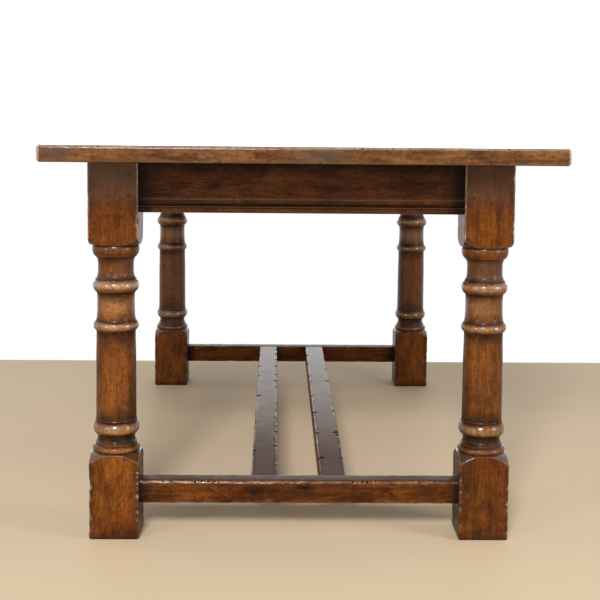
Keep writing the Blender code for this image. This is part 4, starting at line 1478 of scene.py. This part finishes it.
class TABLE_OT_top(bpy.types.Operator):
    """Shapes the boards and the end cleats with their rounded, nicked edges"""

    bl_idname = "table.top"
    bl_label = "Top"

    def execute(self, context):
        sizes = context.scene.table_sizes
        made = finishes()
        cleat_low, cleat_high = corner_of("cleat_front")
        inner = HALF_LENGTH - (cleat_high.y - cleat_low.y) - BOARD_GAP
        for number in range(1, len(BOARD_TONES) + 1):
            node = f"top_board_{number}"
            low, high = corner_of(node)
            low.y, high.y = -inner, inner
            high.z -= TOP_PLANED
            board = timber(
                node + "_planed", low, high, Y, sizes.joint_ease, grid=0.014, across=0.012, segments=2
            )
            self.shape_board(board, low, high, number, sizes)
            timber_masks(board, low, high, Y, 80 + number, ends=0.002, polish=0.1)
            place(board, node, "top_oak", made[f"oak_board_{number}"])
        for number, (end, y) in enumerate(ENDS.items()):
            self.make_cleat(f"cleat_{end}", y, sizes, made, 90 + number)
        return {"FINISHED"}

    def shape_board(self, board, low, high, number, sizes):
        """Rounds the outer long edge of an outer board, and lets the faces wander a little."""
        co = points_of(board)
        middle, half = (low.z + high.z) / 2, (high.z - low.z) / 2
        uneven = 0.00022 * (wander(co, (9, 3, 9), number) + 0.6)
        co[:, Z] -= np.where(co[:, Z] > middle, np.clip(uneven, 0, 1), 0)
        outer_sides = {1: (low.x, -1), len(BOARD_TONES): (high.x, 1)}
        if number in outer_sides:
            outer, sign = outer_sides[number]
            turn = sizes.top_round
            over = np.clip((np.abs(co[:, Z] - middle) - (half - turn)) / turn, 0, 1)
            limit = outer - sign * turn * rounding(over)
            co[:, X] = np.where(sign * (co[:, X] - limit) > 0, limit, co[:, X])
            top = half - turn * rounding(fade(np.abs(co[:, X] - outer), turn))
            co[:, Z] = middle + np.clip(co[:, Z] - middle, -top, top)
        move_points(board, co)

    def make_cleat(self, node, y, sizes, made, seed):
        low, high = corner_of(node)
        high.z -= TOP_PLANED
        outer, inner = (low.y, high.y) if y < 0 else (high.y, low.y)

        def outside(edge):
            middle = (edge.verts[0].co + edge.verts[1].co) / 2
            if abs(middle.y - outer) < TOUCH:
                return True
            return abs(middle.y - inner) > TOUCH and abs(abs(middle.x) - high.x) < TOUCH

        cleat = timber(
            node + "_planed", low, high, X, sizes.top_round,
            grid=0.005, across=0.006, segments=6, rounded=outside,
        )
        batter(cleat, low, high, X, sizes.wear * 0.55, seed, upright=0.15)
        cutters = [self.end_nick(*cut, y, outer, low.z, high.z) for cut in TOP_NICKS]
        carve_nicks(cleat, cutters, made["wax"])
        self.cleat_masks(cleat, low, high, y, outer, seed)
        stain(cleat, CLEAT_STAINS, -y, low.z)
        place(cleat, node, "top_oak", made["oak_cleat"], made["wax"])

    def end_nick(self, across, level, length, depth, y, outer, bottom, top):
        """A nick in the upper or lower arris of the top's end."""
        height = top - 0.0010 if level > 0 else bottom + 0.0012
        size = (length * 0.26, depth * 0.85, depth * 0.65)
        turn = (0.5 * y * level, 0.4 * math.sin(across * 70), 0)
        return nick((-y * across, outer - y * 0.0012, height), size, turn)

    def cleat_masks(self, cleat, low, high, y, outer, seed):
        """Dark wax in clouds, darker along the lower edge; polish, painted highlight lines and dull places on
        the end.
        """
        co = points_of(cleat)
        across = -y * co[:, X]
        distance = edge_distance(co, low, high, (Y, Z))
        side = np.minimum(co[:, X] - low.x, high.x - co[:, X])
        from_outer = np.abs(co[:, Y] - outer)
        uneven = wander(co, 16.0, seed)
        clouds = 0.55 * np.clip(uneven * 2.2 - 0.45, 0, 1)
        mask(cleat, "patina", strongest(clouds, 0.8 * fade(co[:, Z] - low.z, 0.0022)))
        upper = (co[:, Z] > (low.z + high.z) / 2) & (from_outer < 0.012)
        arris = np.where(upper, 0.24, 0.30) * fade(distance, 0.0062, 1.35)
        mask(cleat, "polish", strongest(arris, fade(side, 0.004, 1.2) * (from_outer < 0.01)))
        dull = sum(np.exp(-(((across - middle) / wide) ** 2)) for middle, wide in DULL_PLACES)
        mask(cleat, "haze", np.where(from_outer < 0.01, dull * (0.35 + 0.3 * uneven), 0))
        # Painted highlight lines, as pale wood: down the rounded corners and along the upper and lower
        # arrises
        painted_lines = strongest(
            0.75 * fade(np.abs(side - 0.0032), 0.0013, 1.4),
            0.50 * fade(np.abs(high.z - co[:, Z] - 0.0022), 0.0012, 1.3) * (0.9 + 0.9 * uneven),
            0.16 * fade(np.abs(co[:, Z] - low.z - 0.0020), 0.0009, 1.3),
        )
        mask(cleat, "pale", painted_lines * (from_outer < 0.005))


# Pegs, buttons and screws


class TABLE_OT_pegs(bpy.types.Operator):
    """Whittles one peg with a worn, domed head and drives a copy into each hole"""

    bl_idname = "table.pegs"
    bl_label = "Pegs"

    def execute(self, context):
        finish = peg_end_grain()
        nodes = [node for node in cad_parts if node.startswith("peg_")]
        if not nodes:
            raise RuntimeError("the frame has no pegs")
        model = self.whittle()
        for number, node in enumerate(sorted(nodes)):
            peg = copy_of(model, node + "_whittled")
            co = points_of(peg)
            co[:, :2] *= (1 + 0.05 * wander(co, (160, 160, 20), number + 0.5))[:, None]
            move_points(peg, co)
            head = self.head_frame(node)
            peg.data.transform(head @ Matrix.Rotation(number * 2.4, 4, "Z"))
            height = head.translation.z
            # Darker and duller at the head block's height, as its painted shade and sheen
            mask(peg, "patina", np.full(len(co), 0.30 if height > PEG_SHADED_ABOVE else 0.24))
            mask(peg, "haze", np.full(len(co), graded(height, PEG_SHEEN_BY_HEIGHT)))
            place(peg, node, "peg_oak", finish)
        bpy.data.objects.remove(model, do_unlink=True)
        return {"FINISHED"}

    def whittle(self):
        """A peg that points up, its domed head at the origin."""
        deselect_all()
        bpy.ops.mesh.primitive_cylinder_add(
            vertices=32, radius=PEG_RADIUS, depth=PEG_SHOWN, location=(0, 0, -PEG_SHOWN / 2)
        )
        model = bpy.context.object
        bpy.ops.object.transform_apply(location=True, rotation=True, scale=True)
        bpy.ops.object.mode_set(mode="EDIT")
        pick(model, "faces", lambda f: f.normal.z > 0.9)
        for inward, rise in PEG_DOME:
            bpy.ops.mesh.inset(thickness=inward, depth=0)
            bpy.ops.transform.translate(value=(0, 0, rise))
        bpy.ops.mesh.poke()
        finish_mesh(model, 60)
        return model

    def head_frame(self, node):
        """Where a peg's head shows, looking along its outward direction."""
        low, high = corner_of(node)
        middle = (low + high) / 2
        size = high - low
        axis = max(AXES, key=lambda n: size[n])
        sign = 1 if axis == Z or middle[axis] > 0 else -1
        direction = Vector([sign if n == axis else 0 for n in AXES])
        head = middle.copy()
        head[axis] = high[axis] if sign > 0 else low[axis]
        if axis == Z and node.startswith("peg_cleat"):
            head.z -= TOP_PLANED
        return Matrix.Translation(head) @ direction.to_track_quat("Z", "Y").to_matrix().to_4x4()


class TABLE_OT_buttons(bpy.types.Operator):
    """Shapes the buttons that hold the top down, and their slotted screws"""

    bl_idname = "table.buttons"
    bl_label = "Buttons and screws"

    def execute(self, context):
        wood, steel = bare_oak(), dull_steel()
        button_model, screw_model = self.shape_button(), self.shape_screw()
        for name, turn in BUTTONS.items():
            low = corner_of("button_" + name)[0]
            screw_low, screw_high = corner_of("screw_" + name)
            centre = (screw_low + screw_high) / 2
            stand = Matrix.Translation((centre.x, centre.y, low.z)) @ Matrix.Rotation(turn, 4, "Z")
            button = copy_of(button_model, f"button_{name}_shaped")
            button.data.transform(stand)
            place(button, "button_" + name, "button_oak", wood)
            screw = copy_of(screw_model, f"screw_{name}_slotted")
            screw.data.transform(stand @ Matrix.Rotation(0.7 * len(name), 4, "Z"))
            place(screw, "screw_" + name, "screw_steel", steel)
        for model in (button_model, screw_model):
            bpy.data.objects.remove(model, do_unlink=True)
        return {"FINISHED"}

    def shape_button(self):
        """A block along +Y from its rail, its origin at the screw, with a tongue drawn out at the bottom."""
        low, high = corner_of("button_front")
        screw_low, screw_high = corner_of("screw_front")
        centre = (screw_low + screw_high) / 2
        near = RAIL_HIGH.y - centre.y + 0.0004
        half = (high.x - low.x) / 2
        piece = block("button", (-half, near, 0), (half, high.y - centre.y, high.z - low.z))
        bpy.ops.object.mode_set(mode="EDIT")
        bpy.ops.mesh.select_all(action="SELECT")
        bpy.ops.mesh.bisect(plane_co=(0, 0, TONGUE), plane_no=(0, 0, 1))
        pick(piece, "faces", lambda f: f.normal.y < -0.9 and f.calc_center_median().z < TONGUE)
        bpy.ops.mesh.extrude_region_move(TRANSFORM_OT_translate={"value": (0, low.y - centre.y - near, 0)})
        pick(piece, "edges", lambda e: len(e.link_faces) == 2 and e.calc_face_angle() > 1)
        bpy.ops.mesh.bevel(offset=0.0008, segments=2, profile=0.5, affect="EDGES")
        finish_mesh(piece, 40)
        deselect_all()
        bpy.ops.mesh.primitive_cylinder_add(vertices=32, radius=RECESS_RADIUS, depth=2 * RECESS_DEPTH)
        carve(piece, [bpy.context.object])
        return piece

    def shape_screw(self):
        """A screw that points up, its origin at its head: a turned shank, and a head with a slot."""
        low, high = corner_of("screw_front")
        length = high.z - low.z
        outline = [(0, 0.0001), (0.0036, 0.0001), (0.0041, 0.0004), (0.0042, 0.0008), (0.0022, 0.0030)]
        for turn in range(7):
            base = 0.016 + turn * 0.0027
            outline += [(0.0016, base), (0.0016, base + 0.0012)]
            outline += [(0.0021, base + 0.0019), (0.0016, base + 0.0026)]
        outline += [(0.0012, length - 0.0012), (0, length - 0.0002)]
        piece = lathe("screw", outline, 24, 35)
        half_slot = Vector(SCREW_SLOT) / 2
        carve(piece, [block("slot_cutter", -half_slot, half_slot)])
        return piece


# Stage


class TABLE_OT_stage(bpy.types.Operator):
    """Lays the plain floor, hangs the soft lamps, lights the room and sets the camera"""

    bl_idname = "table.stage"
    bl_label = "Stage"

    def execute(self, context):
        settings = context.scene.table_stage
        self.lay_floor(context)
        self.light_room(context, settings)
        for lamp in LAMPS:
            self.hang_lamp(lamp, getattr(settings, lamp.power))
        self.set_camera(context, settings)
        context.scene.view_settings.view_transform = "Standard"
        return {"FINISHED"}

    def lay_floor(self, context):
        """The floor ends a little behind the table, where the white backdrop begins."""
        deselect_all()
        bpy.ops.mesh.primitive_plane_add(size=1, location=(0, (FLOOR_BACK + FLOOR_FRONT) / 2, 0))
        floor = bpy.context.object
        floor.name = "studio_floor"
        floor.scale = (2 * FLOOR_SIDE, FLOOR_BACK - FLOOR_FRONT, 1)
        bpy.ops.object.transform_apply(location=True, rotation=True, scale=True)
        floor.data.materials.append(floor_paint(tuple(context.scene.table_colours.floor)))

    def light_room(self, context, settings):
        """Dim light from all round, but white where the camera or a reflection sees the room."""
        world = bpy.data.worlds.new("studio_room")
        world.use_nodes = True
        context.scene.world = world
        nodes = Nodes(world.node_tree)
        room = nodes.tree.nodes["Background"]
        nodes.feed(room.inputs["Color"], (1, 1, 1))
        nodes.feed(room.inputs["Strength"], settings.world)
        backdrop = nodes.node("ShaderNodeBackground", {}, {"Color": (1, 1, 1), "Strength": 1.0})
        path = nodes.tree.nodes.new("ShaderNodeLightPath")
        rays = [Sum(nodes, path.outputs[f"Is {kind} Ray"]) for kind in SEEN_BY]
        seen = reduce(Sum.__add__, rays).clamped()
        mixed = nodes.node("ShaderNodeMixShader", {}, {0: seen, 1: Sum(nodes, room.outputs[0]), 2: backdrop})
        nodes.feed(nodes.tree.nodes["World Output"].inputs["Surface"], mixed)

    def hang_lamp(self, lamp, power):
        light = bpy.data.lights.new(lamp.name, "AREA")
        light.shape = "RECTANGLE"
        light.size, light.size_y = lamp.size
        light.spread = math.radians(lamp.spread)
        light.energy = power
        hung = bpy.data.objects.new(lamp.name, light)
        bpy.context.scene.collection.objects.link(hung)
        hung.location = lamp.where
        hung.rotation_euler = (Vector(lamp.where) - Vector(lamp.towards)).to_track_quat("Z", "Y").to_euler()
        hung.visible_camera = False
        hung.visible_glossy = lamp.mirrored

    def set_camera(self, context, settings):
        """The camera stands off one end, a little above the top, and is turned and rolled slightly."""
        data = bpy.data.cameras.new("camera")
        camera = bpy.data.objects.new("camera", data)
        context.scene.collection.objects.link(camera)
        data.sensor_width = 36
        data.lens = settings.lens
        data.shift_y = settings.shift
        yaw, pitch, roll = (math.radians(turn) for turn in CAMERA_TURNS)
        turned = Euler((math.pi / 2 - pitch, 0, -yaw)).to_matrix() @ Matrix.Rotation(roll, 3, "Z")
        camera.matrix_world = Matrix.Translation(CAMERA_PLACE) @ turned.to_4x4()
        context.scene.camera = camera


class TABLE_PT_panel(bpy.types.Panel):
    """Lists the table's pieces and settings in the sidebar"""

    bl_label = "Refectory table"
    bl_idname = "TABLE_PT_panel"
    bl_space_type = "VIEW_3D"
    bl_region_type = "UI"
    bl_category = "Table"

    def draw(self, context):
        for name, kind in GROUPS.items():
            box = self.layout.box()
            for setting in kind.__annotations__:
                box.prop(getattr(context.scene, name), setting)
        for piece in STEPS:
            self.layout.operator(piece.bl_idname)


GROUPS = {"table_sizes": TableSizes, "table_colours": TableColours, "table_stage": StageSettings}
STEPS = (
    TABLE_OT_legs,
    TABLE_OT_rails,
    TABLE_OT_stretchers,
    TABLE_OT_top,
    TABLE_OT_pegs,
    TABLE_OT_buttons,
    TABLE_OT_stage,
)


def register():
    for made in (*GROUPS.values(), *STEPS, TABLE_PT_panel):
        bpy.utils.register_class(made)
    for name, group in GROUPS.items():
        setattr(bpy.types.Scene, name, bpy.props.PointerProperty(type=group))


def unregister():
    for name in GROUPS:
        delattr(bpy.types.Scene, name)
    for made in (TABLE_PT_panel, *reversed(STEPS), *GROUPS.values()):
        bpy.utils.unregister_class(made)


def main():
    register()
    bpy.ops.table.legs()
    bpy.ops.table.rails()
    bpy.ops.table.stretchers()
    bpy.ops.table.top()
    bpy.ops.table.pegs()
    bpy.ops.table.buttons()
    bpy.ops.table.stage()


if __name__ == "__main__":
    main()
